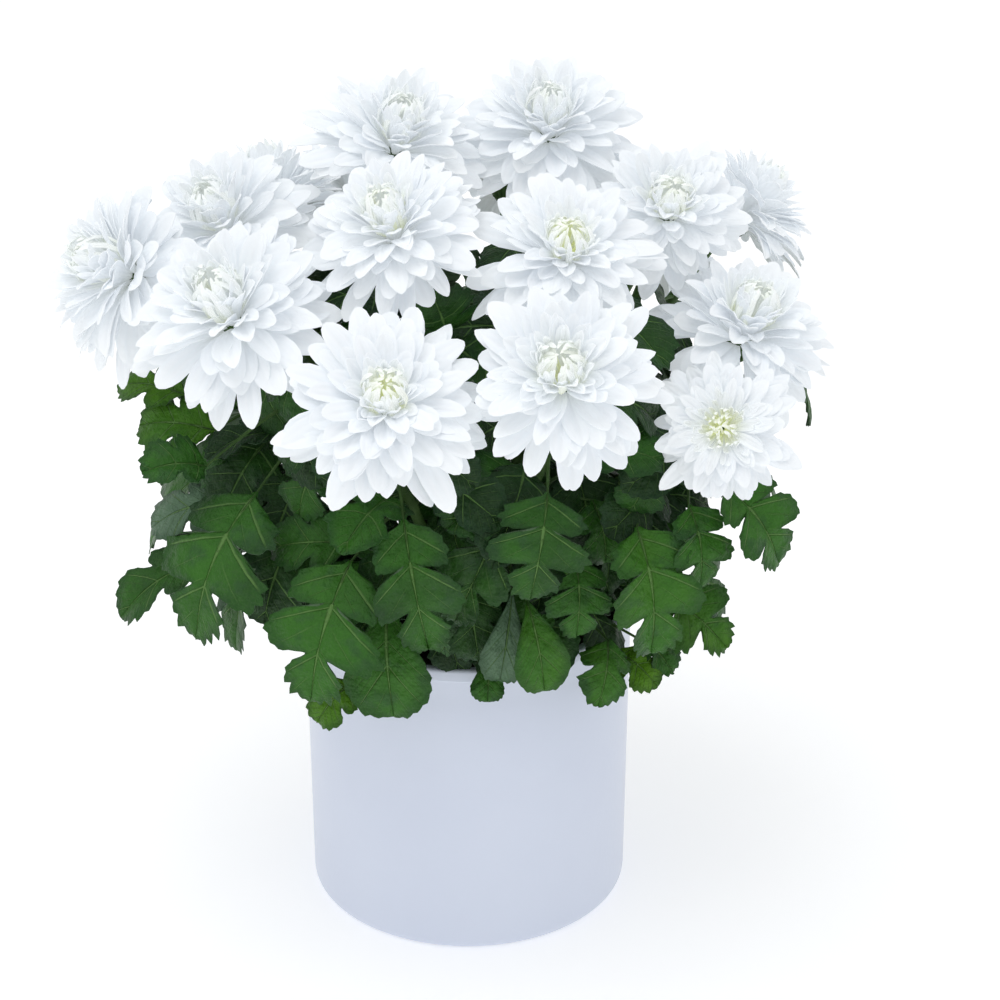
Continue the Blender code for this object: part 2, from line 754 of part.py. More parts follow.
def small_leaf(stem, index, row, chance):
    """A smaller leaf on a stem, swung to one side or the other of the way the stem leans."""
    place, swing, length, width, petiole_slope, blade_slope = row
    root = stem.point(place)
    lean = math.degrees(math.atan2(stem.bloom.seat.y, stem.bloom.seat.x))
    swing = math.remainder(swing * index, SMALL_FAN) + chance.uniform(-SMALL_SWING, SMALL_SWING)
    azimuth = lean + swing
    base = root + SMALL_PETIOLE * MM * direction(azimuth, petiole_slope)
    tip = base + length * MM * direction(azimuth, blade_slope)
    return LeafPlan(stem, root, base, tip, width * MM, small=True)


def tree_of(vertices, faces):
    """Search tree of a set of faces."""
    return BVHTree.FromPolygons([tuple(point) for point in vertices], faces)


def tree_of_object(item):
    """Search tree of an object's mesh."""
    mesh = item.data
    return tree_of([vertex.co for vertex in mesh.vertices], [face.vertices[:] for face in mesh.polygons])


def change_cost(change):
    """How far a change takes a leaf from its plan."""
    shrink, raise_by, droop, swing = change
    moved = abs(raise_by) / RAISE_STEP + abs(droop) / DROOP_STEP + abs(swing) / SWING_STEP
    return (1 - shrink) / SHRINK_STEP + moved


def leaf_changes():
    """Every combination of changes, the smallest first."""
    return sorted(itertools.product(LEAF_SHRINKS, LEAF_RAISES, LEAF_DROOPS, LEAF_SWINGS), key=change_cost)


def choose_leaf(plan, obstacles, own_tube):
    """The first change of a leaf that is clear of everything, or None."""
    for change in leaf_changes():
        leaf = plan.changed(*change)
        vertices, faces = leaf.plate(LEAF_CLEARANCE)
        tree = tree_of(vertices, faces)
        if any(tree.overlap(other) for other in obstacles):
            continue
        blade = tree_of(*leaf_blade(vertices, faces))
        if not blade.overlap(own_tube):
            return leaf
    return None


def leaf_blade(vertices, faces):
    """A leaf without its petiole: the faces that touch none of the root's corners."""
    count = len(vertices) // 2
    roots = {0, 1, count, count + 1}
    return vertices, [face for face in faces if not roots & set(face)]


def grow_leaves(stems, tubes, fixed):
    """Place every leaf clear of all else. Returns the leaves of each stem."""
    tube_trees = [tree_of_object(item) for item in tubes]
    placed = []
    leaves = [[] for _ in stems]
    for plan in plan_leaves(stems):
        own = stems.index(plan.stem)
        others = [tree for index, tree in enumerate(tube_trees) if index != own]
        leaf = choose_leaf(plan, fixed + others + placed, tube_trees[own])
        if leaf is None:
            continue
        leaves[own].append(leaf)
        placed.append(tree_of(*leaf.plate()))
    return leaves


def fuse_leaves(tube_object, leaves, material):
    """Join a stem's leaves to it in one body."""
    operands = []
    for index, leaf in enumerate(leaves):
        vertices, faces = leaf.plate()
        operands.append(add_object(f"{tube_object.name}_leaf_{index}", vertices, faces, material))
    apply_boolean(tube_object, move_to_new_collection(f"{tube_object.name}_leaves", operands), "UNION")


def main():
    """Build the whole plant."""
    clear_scene()
    ceramic = make_material("pot_glaze")
    peat = make_material("soil_peat")
    green = make_material("foliage")
    white = make_material("petals")
    blooms = [Bloom(name, row) for name, row in BLOOMS.items()]
    stems = [Stem(bloom) for bloom in blooms]
    pot = make_pot(ceramic)
    soil = make_soil(peat, [stem.foot for stem in stems])
    heads = []
    for index, bloom in enumerate(blooms):
        neighbours = [other for other in blooms if other is not bloom]
        heads.append(BloomBuilder(bloom, neighbours, index).build(white))
    tubes = []
    for stem in stems:
        vertices, faces = tube(stem.rings())
        tubes.append(add_object(f"stem_{stem.bloom.name}", vertices, faces, green))
    fixed = [tree_of_object(item) for item in (pot, soil, *heads)]
    leaves = grow_leaves(stems, tubes, fixed)
    for tube_object, own_leaves in zip(tubes, leaves):
        if own_leaves:
            fuse_leaves(tube_object, own_leaves, green)
    print("leaves placed", sum(len(own) for own in leaves))


if __name__ == "__main__":
    main()
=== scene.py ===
"""Dressed model of a potted white chrysanthemum.

A pale glazed pot, dark potting soil, eighteen stems with lobed leaves, and one layered white bloom
on each stem. Units are metres, +Z is up and -Y is the front.
"""

import itertools
import json
import logging
import math
import random
from collections.abc import Callable, Iterable, Sequence
from dataclasses import dataclass, field, replace
from enum import Enum
from typing import Any, NamedTuple

import bmesh
import bpy
from mathutils import Matrix, Vector, noise
from mathutils.bvhtree import BVHTree
from mathutils.kdtree import KDTree

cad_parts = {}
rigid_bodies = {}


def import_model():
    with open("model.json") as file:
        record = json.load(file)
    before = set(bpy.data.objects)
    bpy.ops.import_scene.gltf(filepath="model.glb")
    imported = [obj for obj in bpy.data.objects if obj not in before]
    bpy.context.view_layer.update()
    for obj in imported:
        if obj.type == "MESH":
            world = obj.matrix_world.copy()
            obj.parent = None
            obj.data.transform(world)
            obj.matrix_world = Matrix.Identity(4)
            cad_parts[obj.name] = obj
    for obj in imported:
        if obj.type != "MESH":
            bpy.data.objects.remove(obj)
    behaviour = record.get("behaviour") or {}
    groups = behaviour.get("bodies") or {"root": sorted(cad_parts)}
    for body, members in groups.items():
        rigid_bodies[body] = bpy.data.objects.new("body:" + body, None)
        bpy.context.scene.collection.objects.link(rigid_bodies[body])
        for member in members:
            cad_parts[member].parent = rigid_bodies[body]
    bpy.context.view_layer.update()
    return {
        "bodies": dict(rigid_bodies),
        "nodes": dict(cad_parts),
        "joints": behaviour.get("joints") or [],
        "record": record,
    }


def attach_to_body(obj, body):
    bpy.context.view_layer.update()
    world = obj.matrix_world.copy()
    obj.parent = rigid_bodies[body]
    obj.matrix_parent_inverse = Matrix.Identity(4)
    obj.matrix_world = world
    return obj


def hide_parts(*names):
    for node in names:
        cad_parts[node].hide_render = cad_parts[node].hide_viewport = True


LOG = logging.getLogger("chrysanthemum")
MM = 0.001
UP = Vector((0.0, 0.0, 1.0))
FRONT = Vector((0.0, -1.0, 0.0))

# Distance at which the ends of a spun profile are welded, the same for a tube as a share of its
# least radius, and how closely a tube may start along X before its first direction is another one
WELD = 1e-6
TUBE_WELD = 0.02
ALONG_X = 0.9

Colour = tuple[float, float, float]
Span = tuple[float, float]
Stops = tuple[Span, ...]
Numbers = dict[str, float]
Settings = dict[str, Any]
Inputs = dict[str | int, Any]


class Slot(Enum):
    """The record's material slots."""

    POT = "pot_glaze"
    SOIL = "soil_peat"
    LEAF = "foliage"
    PETAL = "petals"


# Shader tools


def operator(operation: str, swapped: bool = False) -> Callable[["Value", "Value | float"], "Value"]:
    """An operator of Value that adds one Math node.

    Args:
        operation: What the node does.
        swapped: Whether the other term comes first.

    Returns:
        The operator.
    """

    def result(value: "Value", other: "Value | float") -> "Value":
        """Result of the node.

        Args:
            value: The value that has the operator.
            other: The other term.

        Returns:
            The result.
        """
        terms = (other, value) if swapped else (value, other)
        return value.shader.maths(operation, *terms)

    return result


@dataclass(frozen=True)
class Value:
    """A number that varies over a surface. Sums and products of it add Math nodes."""

    shader: "Shader"
    socket: bpy.types.NodeSocket

    __add__ = operator("ADD")
    __radd__ = operator("ADD", swapped=True)
    __sub__ = operator("SUBTRACT")
    __rsub__ = operator("SUBTRACT", swapped=True)
    __mul__ = operator("MULTIPLY")
    __rmul__ = operator("MULTIPLY", swapped=True)
    __truediv__ = operator("DIVIDE")
    larger = operator("MAXIMUM")

    def __abs__(self) -> "Value":
        """Size without sign."""
        return self.shader.maths("ABSOLUTE", self)

    def wave(self) -> "Value":
        """Sine of the value."""
        return self.shader.maths("SINE", self)

    def off_whole(self) -> "Value":
        """Distance from the nearest whole number."""
        return abs(self.shader.maths("FRACT", self + 0.5) - 0.5)

    def rise(self, low: float, high: float) -> "Value":
        """Smooth step from 0 at low to 1 at high.

        Args:
            low: Value where the step starts.
            high: Value where it ends.

        Returns:
            The step, between 0 and 1.
        """
        inputs = {"Value": self, "From Min": low, "From Max": high}
        settings = {"interpolation_type": "SMOOTHSTEP"}
        return self.shader.value(self.shader.node("ShaderNodeMapRange", settings, inputs))


class Shader:
    """One material being made, with a Principled shader in front of its output."""

    def __init__(self, name: str) -> None:
        """Start a material.

        Args:
            name: Name of the material.
        """
        self.material = bpy.data.materials.new(name)
        self.material.use_nodes = True
        self.tree = self.material.node_tree
        self.principled = self.tree.nodes["Principled BSDF"]

    def node(
        self, kind: str, settings: Settings | None = None, inputs: Inputs | None = None
    ) -> bpy.types.Node:
        """Add a node.

        Args:
            kind: Type of the node.
            settings: Its properties, set first.
            inputs: Values or links of its sockets, by name or number.

        Returns:
            The node.
        """
        node = self.tree.nodes.new(kind)
        for name, value in (settings or {}).items():
            setattr(node, name, value)
        for name, value in (inputs or {}).items():
            self.feed(node.inputs[name], value)
        return node

    def feed(self, socket: bpy.types.NodeSocket, value: Any) -> None:
        """Link or set one socket.

        Args:
            socket: Socket of a node.
            value: A Value, another socket, a number or a colour.
        """
        source = value.socket if isinstance(value, Value) else value
        if isinstance(source, bpy.types.NodeSocket):
            self.tree.links.new(source, socket)
        elif socket.type == "RGBA" and len(value) == 3:
            socket.default_value = (*value, 1.0)
        else:
            socket.default_value = value

    def value(self, node: bpy.types.Node, output: str | int = 0) -> Value:
        """One output of a node as a Value."""
        return Value(self, node.outputs[output])

    def maths(self, operation: str, *terms: "Value | float") -> Value:
        """Add a Math node.

        Args:
            operation: What it does.
            *terms: Its inputs, in order.

        Returns:
            Its result.
        """
        inputs = dict(enumerate(terms))
        return self.value(self.node("ShaderNodeMath", {"operation": operation}, inputs))

    def number(self, name: str) -> Value:
        """A number that the mesh carries at each point."""
        return self.value(self.node("ShaderNodeAttribute", {"attribute_name": name}), "Fac")

    def place(self) -> bpy.types.NodeSocket:
        """Coordinates on the piece."""
        return self.node("ShaderNodeTexCoord").outputs["Object"]

    def grain(self, scale: float, detail: float = 2.0, roughness: float = 0.5) -> Value:
        """Soft noise on the piece.

        Args:
            scale: Patches per metre.
            detail: Layers of finer noise.
            roughness: Strength of the finer layers.

        Returns:
            A value round 0.5.
        """
        inputs = {"Vector": self.place(), "Scale": scale, "Detail": detail, "Roughness": roughness}
        return self.value(self.node("ShaderNodeTexNoise", {}, inputs))

    def cells(self, scale: float) -> Value:
        """Distance from the edges of small cells.

        Args:
            scale: Cells per metre.

        Returns:
            The distance.
        """
        settings = {"feature": "DISTANCE_TO_EDGE"}
        inputs = {"Vector": self.place(), "Scale": scale}
        return self.value(self.node("ShaderNodeTexVoronoi", settings, inputs))

    def mix(self, share: "Value | float", first: Any, second: Any) -> bpy.types.NodeSocket:
        """Mix two colours.

        Args:
            share: Share of the second colour.
            first: Colour or socket.
            second: Colour or socket.

        Returns:
            The mixed colour's socket.
        """
        node = self.node("ShaderNodeMix", {"data_type": "RGBA"}, {0: share})
        self.feed(node.inputs[6], first)
        self.feed(node.inputs[7], second)
        return node.outputs[2]

    def bump(self, height: Value, distance: float, strength: float = 1.0) -> None:
        """Feed a relief to the Principled shader.

        Args:
            height: Height of the relief, between 0 and 1.
            distance: Depth in metres that 1 stands for.
            strength: Strength of the effect.
        """
        inputs = {"Height": height, "Distance": distance, "Strength": strength}
        node = self.node("ShaderNodeBump", {}, inputs)
        self.feed(self.principled.inputs["Normal"], node.outputs[0])

    def finish(self, **inputs: Any) -> bpy.types.Material:
        """Set the Principled shader.

        Args:
            **inputs: Its sockets, with underscores for spaces.

        Returns:
            The finished material.
        """
        for name, value in inputs.items():
            self.feed(self.principled.inputs[name.replace("_", " ")], value)
        return self.material


# Finishes


@dataclass(frozen=True)
class PotGlaze:
    """Satin glaze, pale and slightly blue, with a faint orange-peel surface."""

    body: Colour = (0.655, 0.702, 0.822)
    thin: Colour = (0.675, 0.722, 0.838)
    worn: Colour = (0.64, 0.67, 0.74)
    roughness: float = 0.34
    clouds_per_metre: float = 14.0
    rubs_per_metre: float = 220.0
    specks_per_metre: float = 260.0
    peel_per_metre: float = 320.0
    peel_depth: float = 0.25 * MM

    def make(self) -> bpy.types.Material:
        """Make the material.

        Returns:
            The material.
        """
        shader = Shader("glaze_pale_blue")
        clouds = shader.grain(self.clouds_per_metre, 3.0)
        colour = shader.mix(clouds.rise(0.3, 0.7), self.body, self.thin)
        edge = shader.number("edge")
        rub = shader.grain(self.rubs_per_metre, 3.0).rise(0.45, 0.7)
        colour = shader.mix(edge * rub * 0.6, colour, self.worn)
        speck = 1.0 - shader.cells(self.specks_per_metre).rise(0.0, 0.05)
        roughness = self.roughness + 0.06 * clouds + 0.05 * speck + 0.12 * edge
        peel = shader.grain(self.peel_per_metre)
        shader.bump(peel + 0.6 * clouds, self.peel_depth, 0.35)
        return shader.finish(
            Base_Color=colour,
            Roughness=roughness,
            Specular_IOR_Level=0.45,
            Coat_Weight=0.12,
            Coat_Roughness=0.18,
        )


@dataclass(frozen=True)
class Peat:
    """Damp potting soil."""

    wet: Colour = (0.012, 0.008, 0.005)
    dry: Colour = (0.075, 0.047, 0.028)
    patches_per_metre: float = 45.0
    fibres_per_metre: float = 520.0
    grains_per_metre: float = 1500.0
    crumb_depth: float = 1.6 * MM

    def make(self) -> bpy.types.Material:
        """Make the material.

        Returns:
            The material.
        """
        shader = Shader("peat_dark")
        fibre = shader.grain(self.fibres_per_metre, 6.0, 0.7)
        patch = shader.grain(self.patches_per_metre, 3.0)
        tint = shader.number("tint")
        share = fibre.rise(0.35, 0.75) * 0.6 + patch.rise(0.4, 0.7) * 0.3 + tint * 0.5
        colour = shader.mix(share, self.wet, self.dry)
        shader.bump(fibre + 0.5 * shader.grain(self.grains_per_metre), self.crumb_depth)
        return shader.finish(Base_Color=colour, Roughness=0.95 - 0.2 * patch)


@dataclass(frozen=True)
class LeafGreen:
    """Upper face deep green with pale sunken veins, underside grey-green.

    The mesh gives each point its side, from -1 to 1 across the blade, and its lane, whose whole
    numbers are the veins.
    """

    deep: Colour = (0.007, 0.034, 0.005)
    mid: Colour = (0.032, 0.136, 0.010)
    fresh: Colour = (0.085, 0.220, 0.004)
    # Greyer green laid over the leaves in noise patches, painted sheen
    sheen_grey: Colour = (0.022, 0.066, 0.026)
    pale: Colour = (0.110, 0.185, 0.120)
    rim: Colour = (0.005, 0.030, 0.009)
    vein: Colour = (0.120, 0.240, 0.062)
    under: Colour = (0.085, 0.145, 0.075)
    vein_width: float = 0.006
    vein_root: float = 0.018
    twigs_per_lane: float = 4.0
    clouds_per_metre: float = 38.0
    sheen_per_metre: float = 90.0
    puckers_per_metre: float = 120.0
    mesh_per_metre: float = 430.0
    speckles_per_metre: float = 900.0
    relief: float = 4.5 * MM

    def veins(self, shader: Shader, reach: Value) -> Value:
        """The midrib and the veins that run from it into the lobes.

        Args:
            shader: The material.
            reach: Place between the midrib and the margin.

        Returns:
            1 on a vein, 0 off it.
        """
        lane = shader.number("lane")
        width = self.vein_width + self.vein_root * (1.0 - reach)
        lateral = (1.0 - (lane.off_whole() / width).rise(0.5, 1.6)) * (1.0 - reach.rise(0.80, 1.0))
        twig_gap = (lane * self.twigs_per_lane).off_whole() / (width * 3.0)
        twigs = (1.0 - twig_gap.rise(0.3, 1.4)) * reach.rise(0.10, 0.45) * (1.0 - reach.rise(0.7, 0.95))
        midrib = 1.0 - reach.rise(0.016, 0.060)
        return midrib.larger(lateral * 0.85).larger(twigs * 0.35)

    def make(self) -> bpy.types.Material:
        """Make the material.

        Returns:
            The material.
        """
        shader = Shader("leaf_green")
        reach = abs(shader.number("side"))
        under = shader.number("under").rise(0.75, 1.0)
        veins = self.veins(shader, reach)
        net = 1.0 - shader.cells(self.mesh_per_metre).rise(0.0, 0.12)
        cloud = shader.grain(self.clouds_per_metre, 3.0)
        # The leaf's own tint with noise; on inner and gap leaves it is lowered, painted shade
        tint_and_shade = shader.number("fresh") + 0.6 * (cloud - 0.5)
        colour = shader.mix(tint_and_shade.rise(-0.15, 0.35), self.deep, self.mid)
        colour = shader.mix(tint_and_shade.rise(0.35, 1.1), colour, self.fresh)
        # Painted sheen: noise patches of greyer green over the leaves
        painted_sheen = shader.grain(self.sheen_per_metre, 4.0).rise(0.50, 0.72)
        colour = shader.mix(painted_sheen * 0.5, colour, self.sheen_grey)
        colour = shader.mix(shader.number("dust"), colour, self.pale)
        colour = shader.mix(reach.rise(0.55, 1.0) * 0.5, colour, self.rim)
        colour = shader.mix(net * 0.06, colour, self.vein)
        colour = shader.mix(veins * 0.8, colour, self.vein)
        colour = shader.mix(under * 0.85, colour, self.under)
        pucker = shader.grain(self.puckers_per_metre, 3.0)
        speckle = shader.grain(self.speckles_per_metre)
        shader.bump(0.8 * pucker + 0.10 * speckle - 0.2 * veins, self.relief)
        roughness = 0.38 + 0.12 * cloud + 0.2 * under
        return shader.finish(Base_Color=colour, Roughness=roughness, Specular_IOR_Level=0.24)


@dataclass(frozen=True)
class StalkGreen:
    """Ribbed green stems that turn woody towards the soil."""

    green: Colour = (0.035, 0.085, 0.015)
    pale: Colour = (0.070, 0.140, 0.035)
    wood: Colour = (0.090, 0.065, 0.035)
    patches_per_metre: float = 60.0
    hairs_per_metre: float = 700.0
    hair_depth: float = 0.5 * MM

    def make(self) -> bpy.types.Material:
        """Make the material.

        Returns:
            The material.
        """
        shader = Shader("stalk_green")
        height = shader.number("height")
        down = shader.grain(self.hairs_per_metre, 3.0)
        patch = shader.grain(self.patches_per_metre).rise(0.35, 0.7)
        colour = shader.mix(patch, self.green, self.pale)
        colour = shader.mix((1.0 - height.rise(0.0, 0.35)) * 0.7, colour, self.wood)
        colour = shader.mix(down.rise(0.55, 0.8) * 0.25, colour, self.pale)
        shader.bump(down, self.hair_depth, 0.8)
        return shader.finish(Base_Color=colour, Roughness=0.5 + 0.2 * down, Specular_IOR_Level=0.3)


@dataclass(frozen=True)
class PetalWhite:
    """White petals with fine lines, yellow-green at the heart.

    A faint painted glow, the emission, stands for the light that comes through thin petals and lifts
    their shade; it is yellower at the heart.
    """

    white: Colour = (0.920, 0.940, 0.950)
    cool: Colour = (0.865, 0.895, 0.935)
    cream: Colour = (0.930, 0.945, 0.800)
    heart: Colour = (0.820, 0.880, 0.320)
    through: Colour = (0.450, 0.475, 0.500)
    warm_glow: Colour = (0.900, 0.940, 0.640)
    glow: float = 0.21
    lines: float = 9.0
    waves_per_metre: float = 30.0
    blots_per_metre: float = 240.0
    relief: float = 0.3 * MM

    def make(self) -> bpy.types.Material:
        """Make the material.

        Returns:
            The material.
        """
        shader = Shader("petal_white")
        along = shader.number("along")
        across = shader.number("across")
        heart = shader.number("heart")
        tint = shader.number("tint")
        line = (across * self.lines + 1.5 * shader.grain(self.waves_per_metre)).wave() * 0.5 + 0.5
        fade = 1.0 - along.rise(0.75, 1.0)
        colour = shader.mix(tint * 0.45 + line * fade * 0.25, self.white, self.cool)
        depth = 1.0 - along
        colour = shader.mix((heart * 0.55 + depth * depth * 0.35).rise(0.05, 0.9), colour, self.cream)
        colour = shader.mix((heart * (0.15 + 0.95 * depth)).rise(0.15, 0.9), colour, self.heart)
        blot = shader.grain(self.blots_per_metre)
        shader.bump(line * fade + 0.5 * blot, self.relief, 0.8)
        return shader.finish(
            Base_Color=colour,
            Roughness=0.52 + 0.14 * blot,
            Specular_IOR_Level=0.25,
            # Painted glow: emission that lifts the petals' shade, grey-white, warmer at the heart
            Emission_Color=shader.mix(heart * 0.8, self.through, self.warm_glow),
            Emission_Strength=self.glow,
        )


@dataclass(frozen=True)
class FloorWhite:
    """Plain matt floor, lit a little from below like a light table."""

    glow: float = 0.305
    white: Colour = (0.955, 0.955, 0.955)
    soft: Colour = (0.95, 0.95, 0.95)
    clouds_per_metre: float = 3.0

    def make(self) -> bpy.types.Material:
        """Make the material.

        Returns:
            The material.
        """
        shader = Shader("floor_white")
        cloud = shader.grain(self.clouds_per_metre).rise(0.3, 0.7)
        return shader.finish(
            Base_Color=shader.mix(cloud, self.white, self.soft),
            Roughness=0.9,
            Specular_IOR_Level=0.1,
            Emission_Color=self.white,
            Emission_Strength=self.glow,
        )


# Mesh tools

Place = Callable[[float, float], tuple[Vector, Numbers]]


class Station(NamedTuple):
    """One ring of a tube."""

    centre: Vector
    axis: Vector
    radius: float
    numbers: Numbers


class Shape:
    """A mesh being modelled, with the numbers that its finish reads at each point."""

    def __init__(self, *numbers: str) -> None:
        """Start an empty mesh.

        Args:
            *numbers: Names of the numbers.
        """
        self.mesh = bmesh.new()
        self.numbers = {name: self.mesh.verts.layers.float.new(name) for name in numbers}

    def note(self, vertex: bmesh.types.BMVert, numbers: Numbers) -> None:
        """Write numbers to a point."""
        for name, number in numbers.items():
            vertex[self.numbers[name]] = number

    def sheet(self, columns: int, rows: int, place: Place) -> list[bmesh.types.BMVert]:
        """Lay a grid over a surface.

        Args:
            columns: Squares across.
            rows: Squares along.
            place: Point and numbers for a place across, -1 to 1, and along, 0 to 1.

        Returns:
            The grid's vertices.
        """
        made = bmesh.ops.create_grid(self.mesh, x_segments=columns, y_segments=rows, size=1.0)
        for vertex in made["verts"]:
            point, numbers = place(vertex.co.x, 0.5 * (vertex.co.y + 1.0))
            vertex.co = point
            self.note(vertex, numbers)
        return made["verts"]

    def tube(self, stations: Sequence[Station], sides: int, ribs: float = 0.0) -> None:
        """Sweep a closed tube through stations, without twist.

        Args:
            stations: Its rings.
            sides: Corners of a ring.
            ribs: Depth of its lengthwise ribs as a share of the radius.
        """
        frames = list(self.frames(stations))
        last = len(stations) - 1

        def place(across: float, along: float) -> tuple[Vector, Numbers]:
            """Point on the tube.

            Args:
                across: Place round the ring, -1 to 1.
                along: Place along the tube, 0 to 1.

            Returns:
                The point and its numbers.
            """
            station = stations[round(along * last)]
            right, beside = frames[round(along * last)]
            index = round(0.5 * (across + 1.0) * sides)
            angle = math.tau * index / sides
            radius = station.radius * (1.0 + ribs * (-1.0) ** index)
            offset = math.cos(angle) * right + math.sin(angle) * beside
            return station.centre + radius * offset, station.numbers

        made = self.sheet(sides, last, place)
        least = min(station.radius for station in stations)
        bmesh.ops.remove_doubles(self.mesh, verts=made, dist=TUBE_WELD * least)
        made = [vertex for vertex in made if vertex.is_valid]
        edges = {edge for vertex in made for edge in vertex.link_edges if edge.is_boundary}
        bmesh.ops.holes_fill(self.mesh, edges=list(edges), sides=0)
        faces = {face for vertex in made for face in vertex.link_faces}
        bmesh.ops.recalc_face_normals(self.mesh, faces=list(faces))

    def frames(self, stations: Sequence[Station]) -> Iterable[tuple[Vector, Vector]]:
        """Two directions across the tube at each station, carried along without twist.

        Args:
            stations: The tube's rings.

        Yields:
            The two directions.
        """
        right = Vector((1.0, 0.0, 0.0))
        if abs(stations[0].axis.normalized().x) > ALONG_X:
            right = Vector((0.0, 1.0, 0.0))
        for station in stations:
            axis = station.axis.normalized()
            right = (right - axis * right.dot(axis)).normalized()
            yield right, axis.cross(right)

    def turn(self, profile: Sequence[Vector], steps: int) -> None:
        """Spin a profile about Z into a closed body.

        Args:
            profile: Points from the axis, round the section, and back to the axis.
            steps: Steps of the full turn.
        """
        points = [self.mesh.verts.new(point) for point in profile]
        edges = [self.mesh.edges.new(pair) for pair in zip(points, points[1:])]
        bmesh.ops.spin(
            self.mesh,
            geom=[*points, *edges],
            cent=(0.0, 0.0, 0.0),
            axis=UP,
            angle=math.tau,
            steps=steps,
            use_merge=True,
        )
        bmesh.ops.remove_doubles(self.mesh, verts=self.mesh.verts, dist=WELD)
        bmesh.ops.recalc_face_normals(self.mesh, faces=self.mesh.faces)

    def thicken(self, thickness: float, mark: str | None = None) -> None:
        """Give every open sheet a thickness below it, with crisp edges.

        Args:
            thickness: Thickness in metres.
            mark: Number that is set to 1 on the new lower face.
        """
        self.mesh.normal_update()
        upper = set(self.mesh.verts)
        bmesh.ops.extrude_face_region(self.mesh, geom=list(self.mesh.faces), use_keep_orig=True)
        for vertex in self.mesh.verts:
            if vertex not in upper:
                vertex.co -= thickness * vertex.normal
                if mark:
                    vertex[self.numbers[mark]] = 1.0
        bmesh.ops.recalc_face_normals(self.mesh, faces=self.mesh.faces)
        for edge in self.mesh.edges:
            sides = [sum(corner in upper for corner in face.verts) for face in edge.link_faces]
            is_rim = [0 < side < len(face.verts) for side, face in zip(sides, edge.link_faces)]
            edge.smooth = is_rim[0] == is_rim[-1]

    def keep(self, name: str, material: bpy.types.Material, slot: Slot, *nodes: str) -> None:
        """Turn the mesh into a finished piece of the part.

        Args:
            name: Name of the piece.
            material: Its finish.
            slot: The record's material slot of its finish; not used.
            *nodes: CAD nodes that it stands for.
        """
        for face in self.mesh.faces:
            face.smooth = True
        data = bpy.data.meshes.new(name)
        self.mesh.to_mesh(data)
        self.mesh.free()
        data.materials.append(material)
        piece = bpy.data.objects.new(name, data)
        bpy.context.scene.collection.objects.link(piece)
        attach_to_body(piece, "root")
        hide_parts(*nodes)
        data.calc_loop_triangles()
        LOG.info("%s: %d triangles", name, len(data.loop_triangles))


def direction(azimuth: float, elevation: float) -> Vector:
    """Unit vector at an azimuth and an elevation, in degrees.

    Args:
        azimuth: Angle about Z from +X.
        elevation: Angle above the horizon.

    Returns:
        The unit vector.
    """
    turn = math.radians(azimuth)
    rise = math.radians(elevation)
    flat = math.cos(rise)
    return Vector((flat * math.cos(turn), flat * math.sin(turn), math.sin(rise)))


def bezier(points: Sequence[Vector], place: float) -> tuple[Vector, Vector]:
    """Point and tangent on a Bezier curve of any degree.

    Args:
        points: Its control points.
        place: Place on it, 0 to 1.

    Returns:
        The point and the unit tangent.
    """
    points = list(points)
    while len(points) > 2:
        points = [low.lerp(high, place) for low, high in zip(points, points[1:])]
    return points[0].lerp(points[1], place), (points[1] - points[0]).normalized()


def blend(stops: Stops, place: float) -> float:
    """Value between stops, eased from one to the next.

    Args:
        stops: Pairs of place and value.
        place: Place between the first and the last.

    Returns:
        The value there.
    """
    for (low, first), (high, second) in zip(stops, stops[1:]):
        if place <= high:
            share = (place - low) / (high - low)
            return first + (second - first) * share * share * (3.0 - 2.0 * share)
    return stops[-1][1]


# Pot and soil


